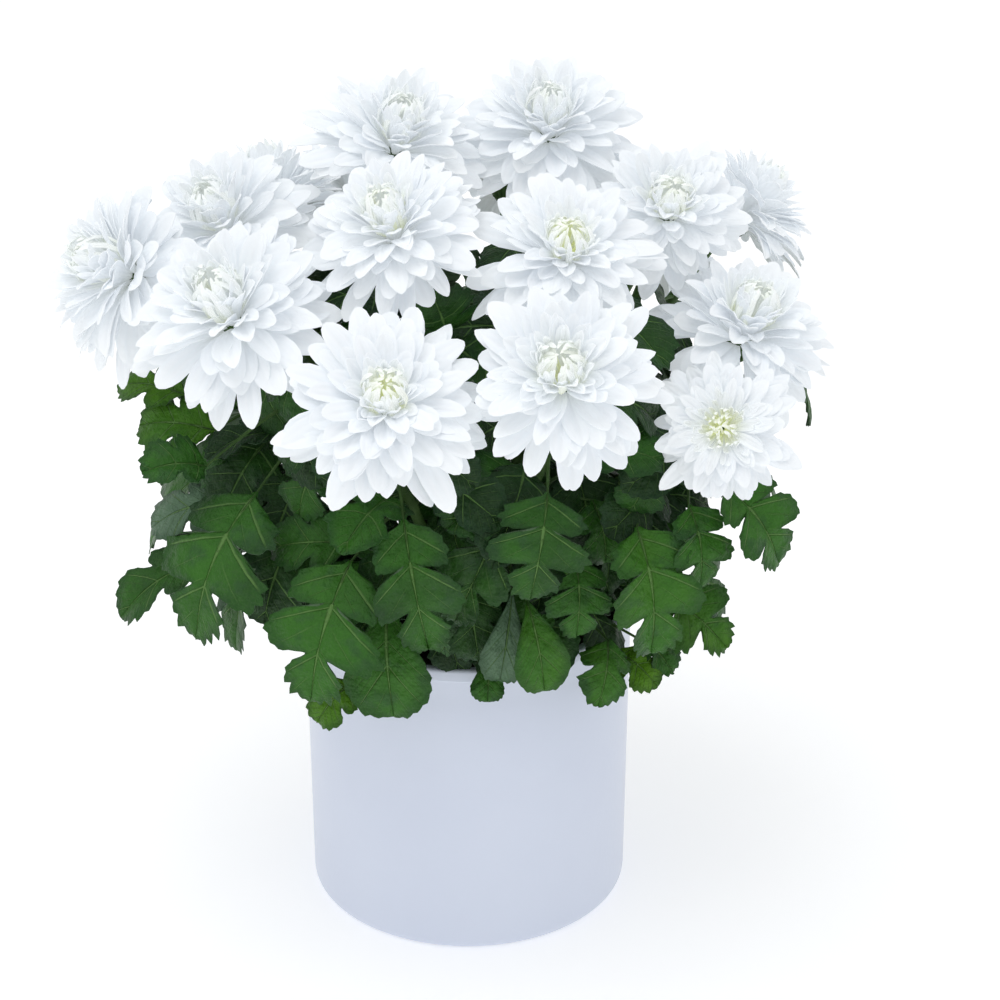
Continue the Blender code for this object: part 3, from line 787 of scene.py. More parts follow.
@dataclass
class Pot:
    """A round glazed pot, slightly flaring, with a raised band at the lip."""

    height: float = 162 * MM
    base_radius: float = 80.5 * MM
    rim_radius: float = 82.6 * MM
    wall: float = 4.5 * MM
    floor: float = 6 * MM
    edge_round: float = 5.5 * MM
    lip_height: float = 6.5 * MM
    lip_proud: float = 0.6 * MM
    lip_round: float = 0.6 * MM
    brim_round: float = 1.6 * MM
    inner_round: float = 1.4 * MM
    groove: float = 0.3 * MM
    worn_edge: float = 0.9 * MM
    worn_foot: float = 1.5 * MM
    arc_steps: int = 6
    wall_steps: int = 12
    steps: int = 128

    @property
    def wall_top(self) -> float:
        """Outer radius just under the band."""
        return self.rim_radius - self.lip_proud

    def inner_radius(self, height: float) -> float:
        """Inner radius at a height above the rounded inner corner.

        Args:
            height: Height above the base.

        Returns:
            The radius.
        """
        bottom = self.floor + self.edge_round
        share = (height - bottom) / (self.height - self.lip_round - bottom)
        low = self.base_radius - self.wall
        return low + share * (self.wall_top - self.wall - low)

    def arc(self, radius: float, height: float, size: float, start: float, end: float) -> list[Vector]:
        """Points of a rounded corner.

        Args:
            radius: Centre of the arc, out from the axis.
            height: Centre of the arc, above the base.
            size: Radius of the arc.
            start: First angle in degrees.
            end: Last angle in degrees.

        Returns:
            The points.
        """
        points = []
        for step in range(self.arc_steps + 1):
            angle = math.radians(start + (end - start) * step / self.arc_steps)
            out = radius + size * math.cos(angle)
            points.append(Vector((out, 0.0, height + size * math.sin(angle))))
        return points

    def profile(self) -> list[Vector]:
        """Section of the pot, from the axis under the base to the axis inside.

        Returns:
            Its points.
        """
        foot = self.edge_round
        lip = self.height - self.lip_height
        small, brim, inner = self.lip_round, self.brim_round, self.inner_round
        inner_base = self.base_radius - self.wall
        inner_top = self.wall_top - self.wall
        points = [Vector((0.0, 0.0, 0.0))]
        points += self.arc(self.base_radius - foot, foot, foot, -90, 0)
        for step in range(1, self.wall_steps):
            share = step / self.wall_steps
            out = self.base_radius + share * (self.wall_top - self.base_radius)
            points.append(Vector((out, 0.0, foot + share * (lip - foot))))
        points.append(Vector((self.wall_top, 0.0, lip - self.groove)))
        points += self.arc(self.rim_radius - small, lip + 1.2 * small, small, -60, 0)
        points += self.arc(self.rim_radius - brim, self.height - brim, brim, 0, 90)
        points += self.arc(inner_top + inner, self.height - inner, inner, 90, 180)
        points.append(Vector((self.inner_radius(0.5 * self.height), 0.0, 0.5 * self.height)))
        points += self.arc(inner_base - foot, self.floor + foot, foot, 0, -90)
        points.append(Vector((0.0, 0.0, self.floor)))
        return points

    def build(self) -> None:
        """Build and dress the pot."""
        shape = Shape("edge")
        shape.turn(self.profile(), self.steps)
        for vertex in shape.mesh.verts:
            outside = vertex.co.xy.length > self.base_radius - self.edge_round
            near_lip = abs(vertex.co.z - self.height) < self.worn_edge
            near_foot = outside and vertex.co.z < self.worn_foot
            shape.note(vertex, {"edge": float(near_lip or near_foot)})
        shape.keep("pot_body", PotGlaze().make(), Slot.POT, "pot")


@dataclass
class Soil:
    """Potting soil with a low mound and loose crumbs on top."""

    pot: Pot
    top: float = 148 * MM
    mound: float = 3 * MM
    gap: float = 0.3 * MM
    rings: int = 22
    steps: int = 96
    crumbs: int = 520
    seed: int = 5

    # Lumps of the surface: height in mm, and number per metre
    coarse: Span = (1.3, 70.0)
    fine: Span = (0.8, 230.0)

    # Crumbs: distance from the wall, smallest and largest size in mm, the same for how long and how
    # flat they are, how deep they lie, and unevenness
    margin: float = 2.5 * MM
    sizes: Span = (0.7, 1.9)
    lengths: Span = (0.7, 1.9)
    heights: Span = (0.5, 0.8)
    raised: float = 0.25
    dents: float = 0.2

    def surface(self, x: float, y: float) -> float:
        """Height of the lumpy surface at a place.

        Args:
            x: Place to the right.
            y: Place to the back.

        Returns:
            The height.
        """
        radius = self.pot.inner_radius(self.top)
        share = min(1.0, math.hypot(x, y) / radius)
        dome = self.mound * math.cos(0.5 * math.pi * share)
        place = Vector((x, y, 0.0))
        lumps = sum(height * noise.noise(place * number) for height, number in (self.coarse, self.fine))
        return self.top + dome + lumps * MM * (1.0 - share**6)

    def build(self) -> None:
        """Build and dress the soil."""
        material = Peat().make()
        shape = Shape("tint")
        corner = self.pot.floor + self.pot.edge_round
        radius = self.pot.inner_radius(self.top) - self.gap
        low = self.pot.inner_radius(corner) - self.pot.edge_round
        profile = [
            Vector((0.0, 0.0, self.pot.floor + self.gap)),
            Vector((low - self.gap, 0.0, self.pot.floor + self.gap)),
            Vector((self.pot.inner_radius(corner) - 2 * self.gap, 0.0, corner + self.gap)),
        ]
        for ring in range(self.rings, -1, -1):
            profile.append(Vector((radius * ring / self.rings, 0.0, self.top)))
        shape.turn(profile, self.steps)
        for vertex in shape.mesh.verts:
            if vertex.co.z > self.top - 1 * MM:
                vertex.co.z = self.surface(vertex.co.x, vertex.co.y)
        shape.keep("soil_bed", material, Slot.SOIL, "soil")
        self.scatter(material, radius)

    def scatter(self, material: bpy.types.Material, radius: float) -> None:
        """Strew crumbs over the surface.

        Args:
            material: The soil's finish.
            radius: Radius of the surface.
        """
        chance = random.Random(self.seed)
        shape = Shape("tint")
        for _ in range(self.crumbs):
            azimuth = chance.uniform(0.0, math.tau)
            out = (radius - self.margin) * math.sqrt(chance.random())
            x, y = out * math.cos(azimuth), out * math.sin(azimuth)
            size = chance.uniform(*self.sizes) * MM
            stretch = Vector((chance.uniform(*self.lengths), 1.0, chance.uniform(*self.heights)))
            turn = Matrix.Rotation(chance.uniform(0.0, math.tau), 4, "Z")
            matrix = Matrix.Translation((x, y, self.surface(x, y) + self.raised * size)) @ turn
            matrix = matrix @ Matrix.Diagonal((*(size * stretch), 1.0))
            made = bmesh.ops.create_icosphere(shape.mesh, subdivisions=1, radius=1.0, matrix=matrix)
            shade = chance.random()
            for vertex in made["verts"]:
                vertex.co += Vector([chance.uniform(-self.dents, self.dents) * size for _ in range(3)])
                shape.note(vertex, {"tint": shade})
        shape.keep("soil_crumbs", material, Slot.SOIL)


# Blooms


# Radius of the bloom that petals and calyxes are laid out for, and first of the blooms' seeds
REFERENCE = 46 * MM
BLOOM_SEED = 100

# Middle of a dome above its seat, as a share of the radius
DOME_MIDDLE = 0.35


@dataclass(frozen=True)
class BloomPlan:
    """Seat, facing direction and size of one bloom.

    The eye says how open its heart is, the nod where its petals face, and the nest how far apart
    the hooked petals of its heart stand.
    """

    name: str
    seat: Vector
    facing: Vector
    radius: float
    eye: float
    nod: Vector
    nest: float

    @property
    def centre(self) -> Vector:
        """Middle of the bloom's dome."""
        return self.seat + DOME_MIDDLE * self.radius * self.nod


# Each bloom: seat (x, y, z) in mm, azimuth and tilt it faces in degrees, radius in mm, eye
BLOOMS = {
    "front_left": (-36, -125, 317, -85, 40, 50, 0.8),
    "front_right": (45, -122, 330, -95, 46, 46, 0.5),
    "right_low": (120, -88, 292, -102, 58, 36, 1.0),
    "right": (130, -22, 306, -55, 24, 45, 0.4),
    "far_right": (132, 75, 330, 15, 42, 41, 0.2),
    "upper_right": (96, 12, 356, -85, 40, 41, 0.5),
    "centre_right": (46, -45, 356, -83, 32, 46, 0.8),
    "centre_left": (-30, -50, 368, -118, 30, 44, 0.5),
    "top": (40, 60, 378, -90, 10, 45, 0.2),
    "top_left": (-36, 38, 378, 140, 5, 46, 0.2),
    "left": (-104, -66, 335, -115, 38, 50, 0.3),
    "upper_left": (-112, 20, 344, -155, 28, 45, 0.2),
    "upper_middle": (-95, 72, 334, 120, 24, 42, 0.3),
    "far_left": (-155, -8, 335, -165, 68, 46, 0.3),
    "back_far_left": (-128, 98, 288, 142, 60, 37, 0.6),
    "back_left": (-60, 130, 318, 113, 48, 41, 0.5),
    "back": (20, 140, 322, 82, 46, 41, 0.8),
    "back_right": (95, 125, 296, 50, 56, 39, 0.4),
}

# Blooms whose petals have nodded away from the direction of the stem: azimuth and tilt in degrees
NODS = {"top": (-90, 28), "top_left": (-62, 26), "far_left": (-150, 58), "upper_left": (-130, 34)}

# Nest of the blooms where it differs from the usual one
NEST = 0.75
NESTS = {"front_left": 0.65, "front_right": 0.95, "right_low": 1.5, "centre_right": 0.9, "back": 0.9}


def bloom_plans() -> list[BloomPlan]:
    """Every bloom of the plant.

    Returns:
        The plans, in the order of their table.
    """
    plans = []
    for name, (x, y, z, azimuth, tilt, radius, eye) in BLOOMS.items():
        seat = Vector((x, y, z)) * MM
        turned, tipped = NODS.get(name, (azimuth, tilt))
        nod = direction(turned, 90 - tipped)
        nest = NESTS.get(name, NEST)
        plans.append(BloomPlan(name, seat, direction(azimuth, 90 - tilt), radius * MM, eye, nod, nest))
    return plans


# How late a petal curls, how its channel deepens to the sides, and depth of its two fine grooves
LATE_CURL = 1.3
CHANNEL_SHAPE = 1.7
GROOVES = 0.05

# Rows of a petal: place, and share of the full width for a blunt and for a pointed one
PETAL_ROWS = (
    (0.00, 0.28, 0.24),
    (0.20, 0.54, 0.50),
    (0.42, 0.84, 0.82),
    (0.62, 1.00, 1.00),
    (0.78, 0.98, 0.86),
    (0.89, 0.82, 0.58),
    (0.96, 0.54, 0.28),
    (1.00, 0.16, 0.02),
)


@dataclass(frozen=True)
class Petal:
    """One petal in its bloom's own frame: sizes in metres, angles in radians.

    It rises from its start at one angle and curls by another on its way to the tip. It is
    channelled, more or less pointed, twisted, swayed to a side and rippled row by row.
    """

    azimuth: float
    start: Vector
    length: float
    width: float
    rise: float
    curl: float
    channel: float
    point: float
    twist: float
    sway: float
    heart: float
    tint: float
    ripple: tuple[float, ...]

    def slope(self, place: float) -> float:
        """Elevation of the petal at a place along it."""
        return self.rise + self.curl * place**LATE_CURL

    def rows(self) -> list[tuple[Vector, float, float, float]]:
        """Centre, elevation, half width and place of each row, from the claw to the tip.

        Returns:
            The rows.
        """
        made = []
        centre = self.start.copy()
        last = 0.0
        for place, blunt, sharp in PETAL_ROWS:
            slope = self.slope(0.5 * (place + last))
            step = (place - last) * self.length
            centre = centre + Vector((math.cos(slope), 0.0, math.sin(slope))) * step
            width = blunt + (sharp - blunt) * self.point
            made.append((centre, self.slope(place), 0.5 * self.width * width, place))
            last = place
        return made

    def tip(self) -> Vector:
        """End of the petal."""
        return self.turned(self.rows()[-1][0])

    def turned(self, point: Vector) -> Vector:
        """A point of the petal's own plane, swung to the petal's azimuth."""
        return Matrix.Rotation(self.azimuth, 3, "Z") @ point

    def surface(self) -> Place:
        """The petal as a surface across and along.

        Returns:
            The surface, for Shape.sheet.
        """
        rows = self.rows()
        last = len(rows) - 1

        def place(across: float, along: float) -> tuple[Vector, Numbers]:
            """Point on the petal.

            Args:
                across: Place across it, -1 to 1.
                along: Place along it, 0 to 1.

            Returns:
                The point and its numbers.
            """
            index = round(along * last)
            centre, slope, half, share = rows[index]
            wide = abs(across)
            hollow = self.channel * wide**CHANNEL_SHAPE - GROOVES * math.cos(math.tau * wide)
            lift = half * hollow + self.ripple[index] * across * half
            bend = self.twist * share
            sideways = -across * half * math.cos(bend) + self.sway * self.length * share * share
            lift += across * half * math.sin(bend)
            point = Vector((-lift * math.sin(slope), sideways, lift * math.cos(slope)))
            numbers = {"along": share, "across": across, "heart": self.heart, "tint": self.tint}
            return self.turned(centre + point), numbers

        return place


@dataclass(frozen=True)
class PetalPlay:
    """Lowest and highest of what a petal draws for itself: angles in degrees, shares elsewhere."""

    azimuth: Span = (-22, 22)
    reach: Span = (-0.22, 0.07)
    height: Span = (-0.11, 0.11)
    curl: Span = (-20, 20)
    width: Span = (0.86, 1.10)
    channel: Span = (-0.3, 2.2)
    point: Span = (0.0, 0.9)
    twist: Span = (-30, 30)
    sway: Span = (-0.09, 0.09)
    ripple: Span = (-0.10, 0.10)


@dataclass
class Bloom:
    """A layered bloom: petals spiral in from wide spreading ones to a tight incurved heart."""

    plan: BloomPlan
    neighbours: list[BloomPlan]
    seed: int
    play: PetalPlay = PetalPlay()
    petals: int = 178
    golden_angle: float = 137.508
    thickness: float = 0.32 * MM
    reference: float = REFERENCE
    gap: float = 0.3 * MM

    # Squares across a petal, and across one of the small petals past a share of the spiral
    columns: int = 4
    small_columns: int = 2
    small_from: float = 0.7

    # A petal may pass the plane to a neighbour by this much; otherwise it is shortened, step by step
    overlap: float = 3.0 * MM
    shortening: float = 0.93
    shortening_steps: int = 12

    # Radius and height of a petal's start in mm: in the heart, and what the outer ring adds to the
    # radius and the heart to the height
    start_radius: Span = (0.6, 7.8)
    start_height: Span = (1.5, 11.0)

    # Where tips lie on the dome as shares of the radius, by layer from the outer ring (0) to the
    # heart (1), and how much of the height an open bloom's flatter dome takes away
    out: Stops = (
        (0, 1.12), (0.15, 1.07), (0.3, 0.96), (0.45, 0.81), (0.57, 0.64),
        (0.66, 0.49), (0.75, 0.33), (0.84, 0.18), (0.92, 0.07), (1, -0.01),
    )
    up: Stops = (
        (0, -0.14), (0.15, 0.04), (0.3, 0.26), (0.45, 0.50), (0.57, 0.70),
        (0.66, 0.81), (0.75, 0.88), (0.84, 0.90), (0.92, 0.90), (1, 0.88),
    )
    flattened: Stops = ((0.0, 0.0), (0.3, 0.3), (0.7, 1.0), (1.0, 0.9))

    # Curl in degrees, width in mm and depth of the channel, by layer
    bend: Stops = (
        (0, -28), (0.3, -40), (0.5, -36), (0.6, -26), (0.68, -14),
        (0.76, 8), (0.84, 44), (0.92, 66), (1, 60),
    )
    wide: Stops = (
        (0, 12.2), (0.3, 12.2), (0.45, 11.6), (0.58, 10.4), (0.7, 8.2),
        (0.78, 5.6), (0.86, 3.7), (1, 2.8),
    )
    hollow: Stops = ((0, 0.14), (0.4, 0.16), (0.7, 0.30), (0.85, 0.45), (1, 0.5))

    # Layer where the yellow-green heart starts, how far the innermost petals hook in, in degrees,
    # and over how many layers the hook sets in
    heart_from: float = 0.72
    hook: float = 60.0
    hook_rise: float = 0.08

    def __post_init__(self) -> None:
        """Work out the bloom's own frame. An open eye flattens the dome and widens the hooked heart."""
        self.chance = random.Random(BLOOM_SEED + self.seed)
        self.size = self.plan.radius / self.reference
        self.flatness = max(0.0, 0.75 * self.plan.eye - 0.35)
        self.hook_from = 0.84 - 0.4 * max(0.0, self.plan.eye - 0.6)
        self.frame = self.plan.nod.to_track_quat("Z", "Y").to_matrix()
        self.origin = self.plan.seat + self.gap * self.plan.facing
        self.planes = [self.dividing_plane(other) for other in self.neighbours]

    def dividing_plane(self, other: BloomPlan) -> tuple[Vector, Vector]:
        """Plane between this bloom and another, shared out by their radii.

        Args:
            other: The other bloom.

        Returns:
            A point of the plane and its normal, towards the other bloom.
        """
        across = other.centre - self.plan.centre
        share = self.plan.radius / (self.plan.radius + other.radius)
        normal = across.normalized()
        return self.plan.centre + share * across + self.overlap * normal, normal

    def world(self, point: Vector) -> Vector:
        """A point of the bloom's own frame, in the part's frame."""
        return self.origin + self.frame @ (self.size * point)

    def crosses(self, petal: Petal) -> bool:
        """Whether a petal's tip lies beyond the plane towards a neighbour."""
        tip = self.world(petal.tip())
        return any((tip - base).dot(normal) > 0 for base, normal in self.planes)

    def layer(self, share: float) -> float:
        """Layer from 0 to 1 for a share of the petals; an open heart has more small petals."""
        return share ** (1.0 - 0.35 * self.plan.eye)

    def petal(self, index: int) -> Petal:
        """One petal of the spiral, shortened until it is clear of the neighbouring blooms.

        Args:
            index: Its number, 0 outermost.

        Returns:
            The petal.
        """
        draw = self.chance.uniform
        play, eye, nest = self.play, self.plan.eye, self.plan.nest
        layer = self.layer(index / (self.petals - 1))
        inward = 1.0 - layer
        azimuth = index * math.radians(self.golden_angle) + math.radians(draw(*play.azimuth))
        start_radius = (self.start_radius[0] + self.start_radius[1] * inward**0.8) * MM
        start_height = (self.start_height[0] + self.start_height[1] * layer) * MM
        reach = self.reference * (1.0 + draw(*play.reach) * (0.3 + 0.7 * inward))
        tip_radius = reach * blend(self.out, layer)
        tip_radius *= blend(((0.0, 1.0), (0.5, 1.0), (0.8, nest), (1.0, nest)), layer)
        tip_height = reach * blend(self.up, layer) * (1.0 - self.flatness * blend(self.flattened, layer))
        tip_height += self.reference * draw(*play.height) * (0.2 + inward)
        chord = Vector((tip_radius - start_radius, tip_height - start_height))
        full = self.hook_from + self.hook_rise
        hooked = ((0.0, 0.0), (self.hook_from, 0.0), (full, self.hook), (1.0, self.hook))
        curl = math.radians(blend(self.bend, layer) + blend(hooked, layer) + draw(*play.curl))
        heart = max(0.0, (layer - self.heart_from) / (1.0 - self.heart_from))
        petal = Petal(
            azimuth=azimuth,
            start=Vector((start_radius, 0.0, start_height)),
            length=chord.length * (1.0 + 0.04 * curl * curl),
            width=blend(self.wide, layer) * MM * draw(*play.width) * (1.0 - 0.45 * eye * layer**2),
            rise=math.atan2(chord.y, chord.x) - 0.45 * curl,
            curl=curl,
            channel=blend(self.hollow, layer) * draw(*play.channel),
            point=draw(*play.point) * (1.0 - 0.5 * layer),
            twist=math.radians(draw(*play.twist)) * (0.3 + inward),
            sway=draw(*play.sway),
            heart=heart * (0.35 + 0.65 * eye),
            tint=draw(0.0, 1.0),
            ripple=tuple(draw(*play.ripple) for _ in PETAL_ROWS),
        )
        for _ in range(self.shortening_steps):
            if not self.crosses(petal):
                break
            petal = replace(petal, length=self.shortening * petal.length)
        return petal

    def build(self, material: bpy.types.Material) -> None:
        """Build and dress the bloom.

        Args:
            material: The petals' finish.
        """
        shape = Shape("along", "across", "heart", "tint")
        for index in range(self.petals):
            made = self.petal(index)
            surface = made.surface()

            def place(across: float, along: float) -> tuple[Vector, Numbers]:
                """Point on the petal in the part's frame."""
                point, numbers = surface(across, along)
                return self.world(point), numbers

            columns = self.columns if index < self.petals * self.small_from else self.small_columns
            shape.sheet(columns, len(PETAL_ROWS) - 1, place)
        shape.thicken(self.thickness)
        name = self.plan.name
        shape.keep(f"petals_{name}", material, Slot.PETAL, f"bloom_{name}")


# Stems


@dataclass(frozen=True)
class Stem:
    """Route of one stem, from its hole in the soil to the back of its bloom."""

    bloom: BloomPlan
    soil_top: float = 148 * MM
    hole_depth: float = 27 * MM
    spread: float = 0.27
    rise: float = 55 * MM
    neck: float = 50 * MM
    calyx_depth: float = 9 * MM
    radius: float = 2.7 * MM
    top_radius: float = 2.3 * MM
    ground: float = 5 * MM
    gap: float = 0.3 * MM
    segments: int = 5

    # Stretch that carries leaves, and the number of places tried along it
    leafy_start: float = 0.08
    leafy_share: float = 0.82
    leafy_steps: int = 40

    # Rings of the stalk, and how much and how far it swells at a leaf
    rings: int = 36
    swelling: float = 0.22
    swelling_reach: float = 0.018

    @property
    def foot(self) -> Vector:
        """Lowest point, in the hole.

        Returns:
            The point.
        """
        seat = self.bloom.seat
        low = self.soil_top - self.hole_depth + self.gap
        return Vector((seat.x * self.spread, seat.y * self.spread, low))

    @property
    def route(self) -> tuple[Vector, Vector, Vector, Vector]:
        """Bezier points from just above the soil to under the calyx.

        Returns:
            The four points.
        """
        ground = Vector((*self.foot.xy, self.soil_top + self.ground))
        top = self.bloom.seat - self.calyx_depth * self.bloom.facing
        return ground, ground + self.rise * UP, top - self.neck * self.bloom.facing, top

    @property
    def lean(self) -> float:
        """Azimuth that the stem leans to, in degrees."""
        return math.degrees(math.atan2(self.bloom.seat.y, self.bloom.seat.x))

    def point(self, place: float) -> Vector:
        """Point on the straight segments of the plain solid.

        Args:
            place: Place along the route, 0 to 1.

        Returns:
            The point.
        """
        segment = min(int(place * self.segments), self.segments - 1)
        low = bezier(self.route, segment / self.segments)[0]
        high = bezier(self.route, (segment + 1) / self.segments)[0]
        return low.lerp(high, place * self.segments - segment)

    def nearest(self, target: Vector) -> float:
        """Place closest to a point, on the stretch that carries leaves.

        Args:
            target: The point.

        Returns:
            The place, 0 to 1.
        """
        count = self.leafy_steps
        places = [self.leafy_start + self.leafy_share * index / count for index in range(count + 1)]
        return min(places, key=lambda place: (self.point(place) - target).length)

    def stations(self, nodes: Sequence[float]) -> list[Station]:
        """Rings of the stalk, a little thicker where leaves grow.

        Args:
            nodes: Places of the leaves.

        Returns:
            The rings.
        """
        made = [Station(self.foot, UP, self.radius, {"height": 0.0})]
        for index in range(self.rings + 1):
            place = index / self.rings
            centre, axis = bezier(self.route, place)
            radius = self.radius + place * (self.top_radius - self.radius)
            gaps = [(place - node) / self.swelling_reach for node in nodes]
            swell = max((math.exp(-(gap**2)) for gap in gaps), default=0.0)
            made.append(Station(centre, axis, radius * (1.0 + self.swelling * swell), {"height": place}))
        return made


@dataclass(frozen=True)
class Calyx:
    """Cup under a bloom with rings of bracts, laid out in mm for a bloom of the reference radius."""

    stem: Stem
    foot_radius: float = 2.3
    sides: int = 16

    # Place along the bloom's axis and radius of each ring of the cup
    cup: Stops = ((-7.5, 3.4), (-5.0, 5.4), (-2.5, 7.0), (0.0, 7.9), (2.5, 7.6), (5.0, 5.8), (6.5, 2.5))

    # Where the bracts of each ring start and end along the axis, and how many a ring has
    bracts: Stops = ((-7.0, 1.5), (-5.0, 4.5))
    count: int = 13

    # A bract's outline as shares of its half width, and its corners
    outline: Stops = ((0.0, 0.5), (0.35, 1.0), (0.7, 0.8), (1.0, 0.15))
    half_width: float = 1.4
    corners: int = 5

    # How a bract hugs the cup: its radius, its fullest place and curve, and how its tip stands out
    hug: float = 8.3
    fullest: float = 1.5
    curve: float = 0.09
    proud: float = 0.8

    @property
    def size(self) -> float:
        """Scale of the calyx."""
        return self.stem.bloom.radius / REFERENCE

    def build(self, shape: Shape) -> None:
        """Add the cup and its bracts.

        Args:
            shape: Mesh of the stalk.
        """
        bloom, size = self.stem.bloom, self.size
        numbers = {"height": 0.9}
        foot = bloom.seat - self.stem.calyx_depth * bloom.facing
        stations = [Station(foot, bloom.facing, self.foot_radius * MM * size, numbers)]
        for place, radius in self.cup:
            centre = bloom.seat + place * MM * size * bloom.facing
            stations.append(Station(centre, bloom.facing, radius * MM * size, numbers))
        shape.tube(stations, self.sides)
        for ring, (low, high) in enumerate(self.bracts):
            for index in range(self.count):
                angle = math.tau * (index + 0.5 * ring) / self.count
                shape.tube(self.bract(angle, low, high), self.corners)

    def bract(self, angle: float, low: float, high: float) -> list[Station]:
        """Rings of one bract, a narrow closed scale that hugs the cup.

        Args:
            angle: Its place round the cup, in radians.
            low: Where it starts along the bloom's axis.
            high: Where it ends.

        Returns:
            The rings.
        """
        bloom, size = self.stem.bloom, self.size
        frame = bloom.facing.to_track_quat("Z", "Y").to_matrix()
        turn = Matrix.Rotation(angle, 3, "Z")
        centres = []
        for share, _ in self.outline:
            place = low + share * (high - low)
            out = self.hug - self.curve * (place - self.fullest) ** 2 + self.proud * share
            centre = turn @ Vector((out, 0.0, place))
            centres.append(bloom.seat + frame @ (centre * MM * size))
        made = []
        last = len(centres) - 1
        for index, (centre, (_, width)) in enumerate(zip(centres, self.outline)):
            ahead = centres[min(index + 1, last)] - centres[max(index - 1, 0)]
            radius = width * self.half_width * MM * size
            made.append(Station(centre, ahead, radius, {"height": 0.8}))
        return made


# Half outlines of a blade from its base to its tip: place along, share of the half width, place on
# the midrib that the margin's vein comes from, size of the teeth there
LOBED_STATIONS = (
    (0.000, 0.05, 0.000, 0.0),
    (0.040, 0.15, 0.018, 0.0),
    (0.072, 0.38, 0.032, 0.0),
    (0.116, 0.64, 0.042, 0.2),
    (0.195, 0.82, 0.052, 1.0),
    (0.275, 0.84, 0.075, 1.0),
    (0.335, 0.72, 0.120, 0.4),
    (0.340, 0.50, 0.190, 0.0),
    (0.336, 0.28, 0.280, 0.0),
    (0.358, 0.44, 0.286, 0.0),
    (0.394, 0.66, 0.291, 0.0),
    (0.452, 0.90, 0.297, 0.4),
    (0.540, 1.03, 0.310, 1.0),
    (0.625, 1.00, 0.360, 1.0),
    (0.685, 0.84, 0.400, 0.5),
    (0.682, 0.58, 0.480, 0.0),
    (0.664, 0.27, 0.600, 0.0),
    (0.712, 0.38, 0.608, 0.0),
    (0.758, 0.50, 0.618, 0.2),
    (0.830, 0.55, 0.650, 1.0),
    (0.890, 0.43, 0.720, 1.0),
    (0.950, 0.29, 0.810, 1.0),
    (0.988, 0.13, 0.920, 0.4),
    (1.000, 0.00, 1.000, 0.0),
)
SIMPLE_STATIONS = (
    (0.000, 0.08, 0.000, 0.0),
    (0.070, 0.26, 0.020, 0.0),
    (0.140, 0.54, 0.040, 0.3),
    (0.225, 0.80, 0.090, 1.0),
    (0.330, 0.96, 0.130, 1.0),
    (0.425, 0.92, 0.180, 0.6),
    (0.470, 0.72, 0.230, 0.0),
    (0.455, 0.50, 0.310, 0.0),
    (0.530, 0.60, 0.370, 0.0),
    (0.610, 0.80, 0.415, 0.5),
    (0.715, 0.86, 0.480, 1.0),
    (0.820, 0.74, 0.570, 1.0),
    (0.905, 0.52, 0.690, 1.0),
    (0.970, 0.25, 0.840, 0.8),
    (1.000, 0.00, 1.000, 0.0),
)
ROUND_STATIONS = (
    (0.000, 0.06, 0.000, 0.0),
    (0.100, 0.20, 0.030, 0.0),
    (0.220, 0.40, 0.080, 0.0),
    (0.350, 0.62, 0.140, 0.0),
    (0.480, 0.82, 0.210, 0.2),
    (0.600, 0.96, 0.280, 0.3),
    (0.710, 1.01, 0.360, 0.4),
    (0.810, 0.96, 0.450, 0.4),
    (0.890, 0.79, 0.560, 0.5),
    (0.950, 0.55, 0.690, 0.5),
    (0.985, 0.28, 0.840, 0.4),
    (1.000, 0.00, 1.000, 0.0),
)


class MarginRow(NamedTuple):
    """One row of a blade, from its origin on the midrib to its place on the margin.

    The lane tells which vein it is near, the span which stations it is between, and the tooth how
    far a full tooth moves the margin there, along and across.
    """

    along: float
    across: float
    origin: float
    lane: float
    span: int
    tooth: tuple[float, float]


# Lanes by number of station: whole at the veins of the lobes, half way at the sinuses
LOBED_LANES = ((0, 0.35), (5, 1.0), (8, 1.5), (12, 2.0), (16, 2.5), (19, 3.0), (23, 3.6))
SIMPLE_LANES = ((0, 0.35), (4, 1.0), (7, 1.5), (10, 2.0), (12, 2.6), (14, 3.3))
ROUND_LANES = ((0, 0.35), (3, 1.0), (6, 2.0), (8, 3.0), (11, 3.6))


class LeafKind(Enum):
    """Blade outlines: stations, lanes of the veins by number of station, and rows to a station."""

    LOBED = (LOBED_STATIONS, LOBED_LANES, 3)
    SIMPLE = (SIMPLE_STATIONS, SIMPLE_LANES, 3)
    ROUND = (ROUND_STATIONS, ROUND_LANES, 3)
    INNER = (SIMPLE_STATIONS, SIMPLE_LANES, 2)

    def rows(self) -> list[MarginRow]:
        """Rows of a half blade.

        Returns:
            The rows, from the base to the tip.
        """
        stations, _, steps = self.value
        last = len(stations) - 2
        made = [self.row(index, step / steps) for index in range(last + 1) for step in range(steps)]
        return [*made, self.row(last, 1.0)]

    def row(self, index: int, share: float) -> MarginRow:
        """Row between two stations, on a smooth curve through all of them.

        Args:
            index: Number of the station before it.
            share: Share of the way to the next station.

        Returns:
            The row.
        """
        stations, lanes, _ = self.value
        near = [stations[min(max(index + step, 0), len(stations) - 1)] for step in (-1, 0, 1, 2)]
        along, rising = smooth([station[0] for station in near], share)
        across, widening = smooth([station[1] for station in near], share)
        origin = near[1][2] + share * (near[2][2] - near[1][2])
        size = near[1][3] + share * (near[2][3] - near[1][3])
        slope = math.hypot(rising, HALF_SLENDER * widening) or 1.0
        depth = TOOTH * size * math.sin(math.pi * share**TOOTH_LEAN)
        tooth = (-depth * HALF_SLENDER * widening / slope, depth * rising / slope / HALF_SLENDER)
        return MarginRow(along, across, origin, straight(lanes, index + share), index, tooth)


